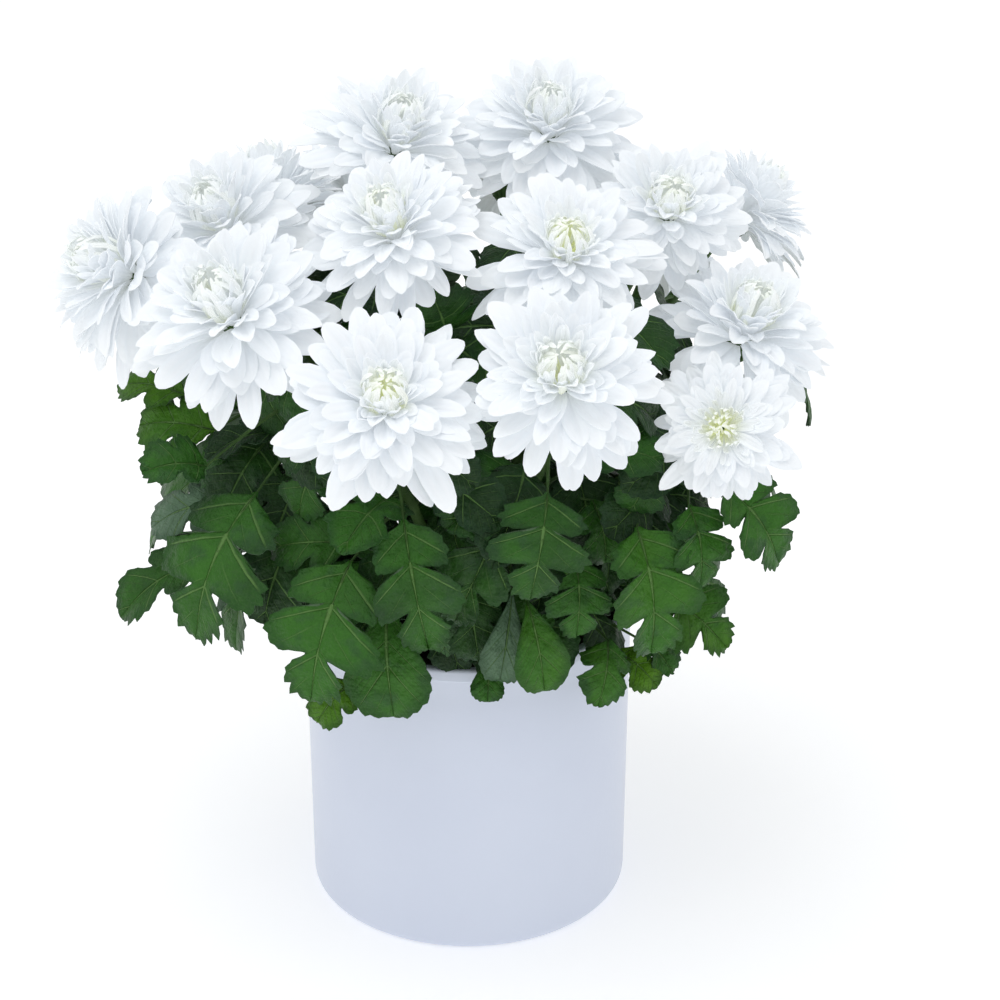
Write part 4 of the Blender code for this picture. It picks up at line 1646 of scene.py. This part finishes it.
def smooth(points: Sequence[float], share: float) -> tuple[float, float]:
    """Value and slope of a Catmull-Rom curve.

    Args:
        points: Four values; the curve runs from the second to the third.
        share: Share of the way.

    Returns:
        The value and the slope.
    """
    a, b, c, d = points
    cube, square, line = -a + 3 * b - 3 * c + d, 2 * a - 5 * b + 4 * c - d, c - a
    value = b + 0.5 * share * (line + share * (square + share * cube))
    return value, 0.5 * (line + 2 * share * square + 3 * share * share * cube)


def straight(stops: Stops, place: float) -> float:
    """Value between stops, on straight lines.

    Args:
        stops: Pairs of place and value.
        place: Place between the first and the last.

    Returns:
        The value there.
    """
    for (low, first), (high, second) in zip(stops, stops[1:]):
        if place <= high:
            return first + (second - first) * (place - low) / (high - low)
    return stops[-1][1]


# Half width of a blade and depth of a full tooth as shares of its length, and how far a tooth
# leans forward
HALF_SLENDER = 0.42
TOOTH = 0.048
TOOTH_LEAN = 1.5
MARGINS = {kind: kind.rows() for kind in LeafKind}

# How far a blade arches, turns its face up rather than outwards, lifts its halves and curls them
# down, and places on it that show whether the plain solid holds it
ARCH = 0.16
UPTURN = 0.8
LIFT = 0.14
CURL = 0.26
MARKS = (1.0, 0.62)
SMALL_MARKS = (1.0, 0.50)
MARK_DEPTH = 0.45 * MM

# Relief of a blade: puff between the veins, groove along the midrib, and rise above the solid
PUFF = 0.6 * MM
GROOVE = 0.5 * MM
CLEAR = 0.3 * MM

# Waves of a margin to a lane of the veins, in radians
WAVES = 4.1

# Tint of a leaf that is neither fresh nor old
USUAL_TINT = 0.18

# Petiole: rings, arch, radius in mm and what it loses to the blade and along the midrib, which
# has rings of its own
PETIOLE_STEPS = 6
PETIOLE_ARCH = 0.06
PETIOLE_RADIUS = 1.15
PETIOLE_TAPER = 0.55
MIDRIB_TAPER = 0.30
MIDRIB_PLACES = (0.12, 0.26, 0.42, 0.60, 0.78)


@dataclass(frozen=True)
class BladePlay:
    """Lowest and highest of what a blade draws for itself.

    The stretch is each half's width, the wave its margin's in mm, the fold its slope along the
    midrib, the depth how deep its lobes are cut, and the bite the size of its teeth.
    """

    stretch: Span = (0.93, 1.05)
    wave: Span = (0.4, 1.3)
    fold: Span = (-0.10, 0.42)
    depth: Span = (0.90, 1.15)
    tint: Span = (-0.18, 0.18)
    bite: Span = (0.2, 1.5)


@dataclass(frozen=True)
class Leaf:
    """One leaf: its stem, its place there, and the base, tip and width of its blade.

    Its tint is more or less fresh, lowered as painted shade on inner and gap leaves; it has more or less
    dust and turns its face forward by a share.
    """

    stem: Stem
    place: float
    root: Vector
    base: Vector
    tip: Vector
    width: float
    small: bool
    kind: LeafKind = LeafKind.LOBED
    # fresh is the leaf's tint; inner and gap leaves get a lower one as painted shade
    fresh: float = 0.0
    dust: float = 0.0
    forward: float = 0.0
    play: BladePlay = BladePlay()

    def changed(self, shrink: float, raise_by: float, droop: float, swing: float) -> "Leaf":
        """The same leaf made smaller, raised, drooped and swung about its stem.

        Args:
            shrink: Share of its size that it keeps.
            raise_by: Rise of its base in mm.
            droop: Drop of its tip in mm.
            swing: Turn about its stem in degrees.

        Returns:
            The changed leaf.
        """
        turn = Matrix.Rotation(math.radians(swing), 3, "Z")
        base = self.root + turn @ (self.base - self.root + raise_by * MM * UP) * (0.5 + 0.5 * shrink)
        blade = turn @ (self.tip - self.base - droop * MM * UP) * shrink
        return replace(self, base=base, tip=base + blade, width=self.width * shrink)

    def surface(self, along: float, across: float) -> tuple[Vector, Vector]:
        """Point of the plain blade and its normal.

        Args:
            along: Place along the blade.
            across: Place across it, 1 at the half width.

        Returns:
            The point and the normal.
        """
        chord = self.tip - self.base
        heading = chord.normalized()
        outward = Vector((self.base.x, self.base.y, 0.0)).normalized() + UPTURN * UP
        outward = outward.lerp(FRONT + UPTURN * UP, self.forward)
        facing = (outward - heading * outward.dot(heading)).normalized()
        beside = heading.cross(facing).normalized()
        middle = self.base + 0.5 * chord + 2 * ARCH * chord.length * facing
        point, tangent = bezier((self.base, middle, self.tip), along)
        normal = beside.cross(tangent).normalized()
        half = 0.5 * self.width
        lift = half * (LIFT * abs(across) - CURL * across * across)
        return point + beside * (across * half) + normal * lift, normal

    def marks(self) -> list[Vector]:
        """Corners of the plain solid that show whether it holds this leaf.

        Returns:
            The points.
        """
        made = []
        for along in SMALL_MARKS if self.small else MARKS:
            point, normal = self.surface(along, 0.0)
            made.append(point + MARK_DEPTH * normal)
        return made

    def blade(self, chance: random.Random) -> tuple[int, Place]:
        """The blade as a surface, with the relief of its veins and a wavy margin.

        Args:
            chance: Source of its own waves and tint.

        Returns:
            Number of rows, and the surface.
        """
        rows = MARGINS[self.kind]
        last = len(rows) - 1
        draw, play, sides = chance.uniform, self.play, (-1, 1)
        phases = {side: draw(0, math.tau) for side in sides}
        stretch = {side: draw(*play.stretch) for side in sides}
        wave = draw(*play.wave) * MM
        fold = draw(*play.fold) * 0.5 * self.width
        depth = draw(*play.depth)
        tint = self.fresh + USUAL_TINT + draw(*play.tint)
        bites = {side: [draw(*play.bite) for _ in rows] for side in sides}

        def place(across: float, along: float) -> tuple[Vector, Numbers]:
            """Point on the blade.

            Args:
                across: Place across it, -1 to 1.
                along: Place along it, 0 to 1.

            Returns:
                The point and its numbers.
            """
            row = rows[round(along * last)]
            side = -1 if across < 0 else 1
            reach = abs(across)
            bite = bites[side][row.span]
            margin = row.along + bite * row.tooth[0], row.across + bite * row.tooth[1]
            real_along = row.origin + reach * (margin[0] - row.origin)
            real_across = side * reach * max(0.0, margin[1]) ** depth * stretch[side]
            point, normal = self.surface(real_along, real_across)
            between = 0.5 - 0.5 * math.cos(math.tau * row.lane)
            relief = PUFF * between * math.sin(math.pi * min(1.0, reach) ** 0.8)
            relief += wave * reach * reach * math.sin(WAVES * row.lane + phases[side])
            relief -= GROOVE * max(0.0, 1.0 - 4.0 * reach)
            relief += CLEAR + fold * abs(real_across)
            numbers = {"side": across, "lane": row.lane, "fresh": tint, "dust": self.dust}
            return point + relief * normal, numbers

        return last, place

    def stalk(self) -> list[Station]:
        """Rings of the petiole and of the midrib under the blade.

        Returns:
            The rings, from the stem to near the tip.
        """
        attach = bezier(self.stem.route, self.place)[0]
        run = (self.base - attach).length
        middle = attach.lerp(self.base, 0.5) + PETIOLE_ARCH * run * UP
        steps = PETIOLE_STEPS
        points = [bezier((attach, middle, self.base), step / steps)[0] for step in range(steps + 1)]
        for along in MIDRIB_PLACES:
            point, normal = self.surface(along, 0.0)
            points.append(point - GROOVE * normal)
        made = []
        for index, point in enumerate(points):
            ahead = points[min(index + 1, len(points) - 1)] - points[max(index - 1, 0)]
            blade = MIDRIB_TAPER * max(0, index - steps) / len(MIDRIB_PLACES)
            radius = (PETIOLE_RADIUS - PETIOLE_TAPER * min(1.0, index / steps) - blade) * MM
            made.append(Station(point, ahead, radius, {"height": 0.6 + 0.4 * self.place}))
        return made

    def hull(self) -> BVHTree:
        """Coarse search tree of the blade.

        Returns:
            The tree.
        """
        rows = MARGINS[self.kind][:: 4 if self.kind is LeafKind.INNER else 6]
        points = []
        for row in rows:
            for side in (-1, 0, 1):
                along = row.along if side else row.origin
                points.append(self.surface(along, side * row.across)[0])
        faces = []
        for index in range(len(rows) - 1):
            low = 3 * index
            faces += [(low, low + 1, low + 4, low + 3), (low + 1, low + 2, low + 5, low + 4)]
        return BVHTree.FromPolygons([tuple(point) for point in points], faces)


# Foliage

# Leaves placed by the photograph: blade base, blade tip and blade width, in mm
FRONT_LEAVES = (
    ((-98, -75, 254), (-127, -100, 189), 58),
    ((-126, -50, 205), (-167, -60, 179), 30),
    ((-122, -70, 265), (-151, -80, 267), 26),
    ((-121, -30, 265), (-158, -20, 263), 34),
    ((-109, -45, 235), (-153, -35, 215), 30),
    ((-135, -20, 279), (-169, -5, 277), 26),
    ((-53, -105, 233), (-72, -125, 170), 54),
    ((-54, -98, 165), (-71, -104, 146), 26),
    ((-37, -85, 205), (-34, -108, 152), 42),
    ((-28, -112, 258), (-17, -124, 198), 40),
    ((20, -100, 258), (-5, -110, 204), 34),
    ((38, -110, 271), (30, -125, 224), 44),
    ((52, -85, 223), (52, -95, 188), 32),
    ((22, -85, 206), (16, -95, 164), 22),
    ((29, -92, 205), (37, -108, 166), 28),
    ((11, -85, 168), (10, -98, 154), 16),
    ((80, -90, 243), (87, -105, 185), 46),
    ((90, -70, 198), (124, -85, 176), 40),
    ((101, -80, 250), (105, -90, 211), 32),
    ((121, -80, 260), (147, -86, 222), 42),
    ((68, -75, 175), (63, -95, 150), 26),
    ((67, -70, 164), (85, -85, 151), 24),
    ((-54, -90, 235), (-91, -85, 230), 30),
    ((-67, -75, 266), (-78, -80, 238), 30),
    ((87, -80, 276), (77, -85, 249), 30),
    ((1, -78, 198), (6, -88, 165), 30),
    ((-12, -70, 213), (-10, -80, 175), 30),
    ((60, -65, 245), (66, -75, 217), 30),
    ((153, -20, 291), (165, -15, 261), 20),
    ((84, -60, 167), (100, -70, 154), 22),
)

# Outline and freshness of single front leaves, by their number in the list, dust on some of them,
# and width below which a leaf has the simpler outline
FRONT_LOOKS = {
    0: (LeafKind.LOBED, 0.12),
    1: (LeafKind.SIMPLE, 0.10),
    3: (LeafKind.SIMPLE, 0.45),
    5: (LeafKind.SIMPLE, 0.40),
    6: (LeafKind.LOBED, 0.22),
    7: (LeafKind.SIMPLE, 0.75),
    8: (LeafKind.ROUND, 0.22),
    13: (LeafKind.ROUND, 0.12),
    14: (LeafKind.ROUND, 0.38),
    15: (LeafKind.ROUND, 0.18),
    16: (LeafKind.LOBED, 0.25),
    17: (LeafKind.LOBED, 0.35),
    19: (LeafKind.LOBED, 0.10),
    20: (LeafKind.SIMPLE, 0.22),
    21: (LeafKind.SIMPLE, 0.65),
}
DUSTY_LEAVES = {4: 0.8, 13: 0.8, 26: 0.3}
NARROW_LEAF = 31

# Leaves that close the gaps seen from the front: blade base, blade tip and width, in mm
GAP_LEAVES = (
    ((-96, -36, 262), (-116, -52, 232), 38),
    ((-78, -52, 252), (-92, -70, 220), 36),
    ((-84, -44, 216), (-98, -60, 176), 38),
    ((-14, -62, 188), (-3, -80, 160), 28),
    ((2, -60, 182), (18, -78, 158), 26),
    ((52, -52, 256), (60, -68, 222), 34),
    ((88, -52, 248), (84, -68, 212), 34),
    ((-10, -40, 322), (-16, -62, 352), 36),
)

# Rings of leaves: number, first and last azimuth, blade base and tip as (radius, height), width
SKIRT_RINGS = (
    (9, -8, 196, (88, 205), (124, 150), 50),
    (9, 2, 188, (112, 245), (156, 198), 50),
    (5, 30, 150, (122, 275), (162, 245), 38),
)

# Changes tried to fit a leaf to its solid: size, rise and droop in mm, and swing in degrees
SIZES = (1.0, 0.88, 0.76, 0.64)
RISES = (0, 6, -6, 12, -12)
DROOPS = (0, 9, -9)
SWINGS = (0, 7, -7, 14, -14, 22, -22, 32, -32)


def harshness(change: tuple[float, ...]) -> float:
    """How far a change takes a leaf from its plan."""
    size, rise, droop, swing = change
    return 10 * (1 - size) + abs(rise) / 7 + abs(droop) / 9 + abs(swing) / 8


CHANGES = sorted(itertools.product(SIZES, RISES, DROOPS, SWINGS), key=harshness)


class SmallLeaf(NamedTuple):
    """A row of smaller leaves, one to a stem: sizes in mm, angles in degrees."""

    place: float
    swing: float
    length: float
    width: float
    petiole_slope: float
    blade_slope: float


SMALL_LEAVES = (
    SmallLeaf(0.60, 137.5, 50, 38, 12, -14),
    SmallLeaf(0.30, 61.0, 48, 38, 22, -22),
)


@dataclass
class Foliage:
    """All stems with their leaves: those of the plain solids, and more that fill the dark inside."""

    stems: list[Stem]
    nodes: dict[str, bpy.types.Object]
    seeds: tuple[int, int] = (11, 23)

    # How closely a leaf has to match its solid, how far under a blade its stalk starts, and length
    # of a smaller leaf's stalk
    match: float = 0.06 * MM
    stalk_drop: float = 12 * MM
    small_petiole: float = 14 * MM

    # Thickness of a blade, squares across it and across an inner one, and distance of its weld
    blade_thickness: float = 0.4 * MM
    columns: int = 6
    inner_columns: int = 4
    weld: float = 0.02 * MM

    # Sides of a stalk and of a petiole, and depth of a stalk's ribs
    stalk_sides: int = 12
    petiole_sides: int = 6
    ribs: float = 0.05

    # Leaves in front of this place turn their faces forward, and those in the gaps turn more
    front: float = -30 * MM
    front_turn: float = 0.4
    gap_turn: float = 0.8

    # Inner leaves: places on a stem, how far they reach, tries, a darker tint that is painted shade for
    # the inside of the plant, and the place on a stem up to which they lie over the soil
    inner_places: tuple[float, ...] = (0.05, 0.10, 0.17, 0.25, 0.34, 0.43, 0.52, 0.61, 0.70, 0.79, 0.87)
    inner_reach: float = 138 * MM
    inner_tries: int = 7
    inner_shade_tint: float = -0.30
    low_place: float = 0.12
    hulls: list[BVHTree] = field(default_factory=list)

    def attached(self, base: Vector, tip: Vector, width: float, small: bool) -> Leaf:
        """A leaf that grows from the stem passing closest under its blade.

        Args:
            base: Base of its blade.
            tip: Tip of its blade.
            width: Width of its blade.
            small: Whether it has the simpler outline.

        Returns:
            The leaf.
        """
        target = base - self.stalk_drop * UP
        stem = min(self.stems, key=lambda item: (item.point(item.nearest(target)) - target).length)
        place = stem.nearest(target)
        kind = LeafKind.SIMPLE if small else LeafKind.LOBED
        return Leaf(stem, place, stem.point(place), base, tip, width, small, kind)

    def plans(self) -> list[Leaf]:
        """Every leaf as it was planned for the plain solids.

        Returns:
            The leaves.
        """
        made = []
        for index, (base, tip, width) in enumerate(FRONT_LEAVES):
            small = width < NARROW_LEAF
            leaf = self.attached(Vector(base) * MM, Vector(tip) * MM, width * MM, small)
            kind, fresh = FRONT_LOOKS.get(index, (leaf.kind, 0.0))
            made.append(replace(leaf, kind=kind, fresh=fresh, dust=DUSTY_LEAVES.get(index, 0.0)))
        chance = random.Random(self.seeds[0])
        for count, first, last, base, tip, width in SKIRT_RINGS:
            for index in range(count):
                azimuth = first + (last - first) * index / (count - 1)
                lean = chance.uniform(-10, 10)
                rise = chance.uniform(-6, 8)
                start = self.ring_point(base[0], azimuth, base[1] + rise)
                end = self.ring_point(tip[0], azimuth + lean, tip[1] + rise)
                made.append(self.attached(start, end, width * MM, False))
        for row in SMALL_LEAVES:
            for index, stem in enumerate(self.stems):
                made.append(self.small_leaf(stem, index, row, chance))
        return made

    def ring_point(self, radius: float, azimuth: float, height: float) -> Vector:
        """Point on a ring round the pot's axis, in millimetres and degrees."""
        return direction(azimuth, 0.0) * radius * MM + height * MM * UP

    def small_leaf(self, stem: Stem, index: int, row: SmallLeaf, chance: random.Random) -> Leaf:
        """One of the smaller leaves on a stem.

        Args:
            stem: The stem.
            index: Number of the stem.
            row: Sizes of the leaf.
            chance: Source of its swing.

        Returns:
            The leaf.
        """
        root = stem.point(row.place)
        azimuth = stem.lean + math.remainder(row.swing * index, 200) + chance.uniform(-10, 10)
        base = root + self.small_petiole * direction(azimuth, row.petiole_slope)
        tip = base + row.length * MM * direction(azimuth, row.blade_slope)
        return Leaf(stem, row.place, root, base, tip, row.width * MM, True, LeafKind.SIMPLE)

    def tree(self, node: str) -> KDTree:
        """Search tree of a CAD node's corners.

        Args:
            node: Name of the node.

        Returns:
            The tree.
        """
        vertices = self.nodes[node].data.vertices
        tree = KDTree(len(vertices))
        for index, vertex in enumerate(vertices):
            tree.insert(vertex.co, index)
        tree.balance()
        return tree

    def placed(self) -> list[Leaf]:
        """The leaves as they stand on the plain solids.

        Returns:
            The leaves, without those that the solids left out.
        """
        trees = {stem.bloom.name: self.tree(f"stem_{stem.bloom.name}") for stem in self.stems}
        made = []
        for plan in self.plans():
            tree = trees[plan.stem.bloom.name]
            for change in CHANGES:
                leaf = plan.changed(*change)
                if all(tree.find(mark)[2] < self.match for mark in leaf.marks()):
                    turn = self.front_turn if leaf.base.y < self.front else 0.0
                    made.append(replace(leaf, forward=turn))
                    break
        return made

    def inner_leaves(self, chance: random.Random) -> list[Leaf]:
        """More leaves inside the plant, clear of the blooms and of each other.

        Args:
            chance: Source of their places and sizes.

        Returns:
            The leaves.
        """
        made = []
        for stem in self.stems:
            for index, place in enumerate(self.inner_places):
                for attempt in range(self.inner_tries):
                    azimuth = stem.lean + 137.5 * index + 40.0 + chance.uniform(-30, 30) + 50 * attempt
                    leaf = self.inner_leaf(stem, place, azimuth, 1.0 - 0.08 * attempt, chance)
                    hull = leaf.hull()
                    near = leaf.tip.xy.length < self.inner_reach
                    if near and not any(hull.overlap(other) for other in self.hulls):
                        self.hulls.append(hull)
                        made.append(leaf)
                        break
        return made

    def inner_leaf(
        self, stem: Stem, place: float, azimuth: float, size: float, chance: random.Random
    ) -> Leaf:
        """One leaf of the inside.

        Args:
            stem: Its stem.
            place: Its place on the stem.
            azimuth: The way it points, in degrees.
            size: Its size, 1 for a full one.
            chance: Source of its sizes and slopes.

        Returns:
            The leaf.
        """
        draw = chance.uniform
        low = place <= self.low_place
        root = stem.point(place)
        length = draw(38, 54) * size * MM
        rise = draw(10, 25) if low else draw(5, 35)
        base = root + draw(12, 20) * MM * direction(azimuth, rise)
        droop = draw(-6, 8) if low else draw(-40, -5)
        tip = base + length * direction(azimuth + draw(-15, 15), droop)
        width = length * draw(0.62, 0.78)
        return Leaf(stem, place, root, base, tip, width, True, LeafKind.INNER, self.inner_shade_tint)

    def build(self) -> None:
        """Build and dress every stem and its leaves."""
        chance = random.Random(self.seeds[1])
        for name, node in self.nodes.items():
            if name.startswith("bloom_") or name == "pot":
                self.hulls.append(self.node_tree(node))
        outer = self.placed()
        for base, tip, width in GAP_LEAVES:
            leaf = self.attached(Vector(base) * MM, Vector(tip) * MM, width * MM, True)
            # Gap leaves take the darker tint too, painted shade in the gaps
            outer.append(replace(leaf, forward=self.gap_turn, fresh=self.inner_shade_tint))
        self.hulls += [leaf.hull() for leaf in outer]
        inner = self.inner_leaves(chance)
        LOG.info("leaves: %d outside, %d inside", len(outer), len(inner))
        green = LeafGreen().make()
        stalk_green = StalkGreen().make()
        for stem in self.stems:
            own = [leaf for leaf in [*outer, *inner] if leaf.stem is stem]
            self.build_blades(stem, own, green, chance)
            self.build_stalk(stem, own, stalk_green)

    def node_tree(self, node: bpy.types.Object) -> BVHTree:
        """Search tree of a CAD node's faces.

        Args:
            node: The node.

        Returns:
            The tree.
        """
        data = node.data
        points = [tuple(vertex.co) for vertex in data.vertices]
        return BVHTree.FromPolygons(points, [tuple(face.vertices) for face in data.polygons])

    def build_blades(
        self, stem: Stem, leaves: Sequence[Leaf], material: bpy.types.Material, chance: random.Random
    ) -> None:
        """Build the blades of one stem.

        Args:
            stem: The stem.
            leaves: Its leaves.
            material: Their finish.
            chance: Source of their waves and tints.
        """
        shape = Shape("side", "lane", "fresh", "dust", "under")
        for leaf in leaves:
            rows, place = leaf.blade(chance)
            columns = self.inner_columns if leaf.kind is LeafKind.INNER else self.columns
            made = shape.sheet(columns, rows, place)
            bmesh.ops.remove_doubles(shape.mesh, verts=made, dist=self.weld)
        shape.thicken(self.blade_thickness, "under")
        name = stem.bloom.name
        shape.keep(f"leaves_{name}", material, Slot.LEAF, f"stem_{name}")

    def build_stalk(self, stem: Stem, leaves: Sequence[Leaf], material: bpy.types.Material) -> None:
        """Build one stem's stalk, its petioles and the calyx under its bloom.

        Args:
            stem: The stem.
            leaves: Its leaves.
            material: Their finish.
        """
        shape = Shape("height")
        stations = stem.stations([leaf.place for leaf in leaves])
        shape.tube(stations, self.stalk_sides, self.ribs)
        for leaf in leaves:
            shape.tube(leaf.stalk(), self.petiole_sides)
        Calyx(stem).build(shape)
        name = stem.bloom.name
        shape.keep(f"stalk_{name}", material, Slot.LEAF, f"stem_{name}")


# Studio


@dataclass(frozen=True)
class Studio:
    """White floor, white surroundings, one large soft light and the camera."""

    camera_at: tuple[float, float, float] = (0.0162, -1.467, 0.941)
    camera_pitch: float = 26.4
    focal_pixels: float = 3304.0
    image_pixels: float = 1000.0
    sensor: float = 36.0
    sky: Colour = (0.97, 0.985, 1.0)
    sky_strength: float = 0.765
    key_at: tuple[float, float, float] = (-0.40, -0.35, 2.10)
    key_aim: tuple[float, float, float] = (0.0, 0.0, 0.22)
    key_size: float = 1.6
    key_power: float = 10.0
    floor_size: float = 6.0
    floor_drop: float = 0.1 * MM

    def build(self) -> None:
        """Set up the studio."""
        self.floor()
        self.surroundings()
        self.key_light()
        self.camera()

    def floor(self) -> None:
        """Lay the floor."""
        mesh = bmesh.new()
        bmesh.ops.create_grid(mesh, x_segments=2, y_segments=2, size=self.floor_size)
        data = bpy.data.meshes.new("floor")
        mesh.to_mesh(data)
        mesh.free()
        data.transform(Matrix.Translation(-self.floor_drop * UP))
        data.materials.append(FloorWhite().make())
        floor = bpy.data.objects.new("floor", data)
        bpy.context.scene.collection.objects.link(floor)

    def surroundings(self) -> None:
        """Set the even white surroundings and plain display colours."""
        scene = bpy.context.scene
        world = bpy.data.worlds.new("studio")
        world.use_nodes = True
        background = world.node_tree.nodes["Background"]
        background.inputs["Color"].default_value = (*self.sky, 1.0)
        background.inputs["Strength"].default_value = self.sky_strength
        scene.world = world
        scene.view_settings.view_transform = "Standard"
        scene.view_settings.look = "None"

    def key_light(self) -> None:
        """Hang the square soft light over the plant."""
        data = bpy.data.lights.new("key", "AREA")
        data.shape = "SQUARE"
        data.size = self.key_size
        data.energy = self.key_power
        lamp = bpy.data.objects.new("key", data)
        lamp.location = self.key_at
        ray = Vector(self.key_aim) - Vector(self.key_at)
        lamp.rotation_euler = ray.to_track_quat("-Z", "Y").to_euler()
        bpy.context.scene.collection.objects.link(lamp)

    def camera(self) -> None:
        """Set the camera at the photograph's place and angle."""
        data = bpy.data.cameras.new("camera")
        data.sensor_width = self.sensor
        data.lens = self.focal_pixels * self.sensor / self.image_pixels
        camera = bpy.data.objects.new("camera", data)
        camera.location = self.camera_at
        camera.rotation_euler = (math.radians(90.0 - self.camera_pitch), 0.0, 0.0)
        bpy.context.scene.collection.objects.link(camera)
        bpy.context.scene.camera = camera


def main() -> None:
    """Load the frame and build every sub-assembly round it."""
    logging.basicConfig(level=logging.INFO, format="%(name)s %(message)s")
    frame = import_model()
    pot = Pot()
    pot.build()
    Soil(pot).build()
    plans = bloom_plans()
    petals = PetalWhite().make()
    for index, plan in enumerate(plans):
        others = [other for other in plans if other is not plan]
        Bloom(plan, others, index).build(petals)
    Foliage([Stem(plan) for plan in plans], frame["nodes"]).build()
    Studio().build()


if __name__ == "__main__":
    main()
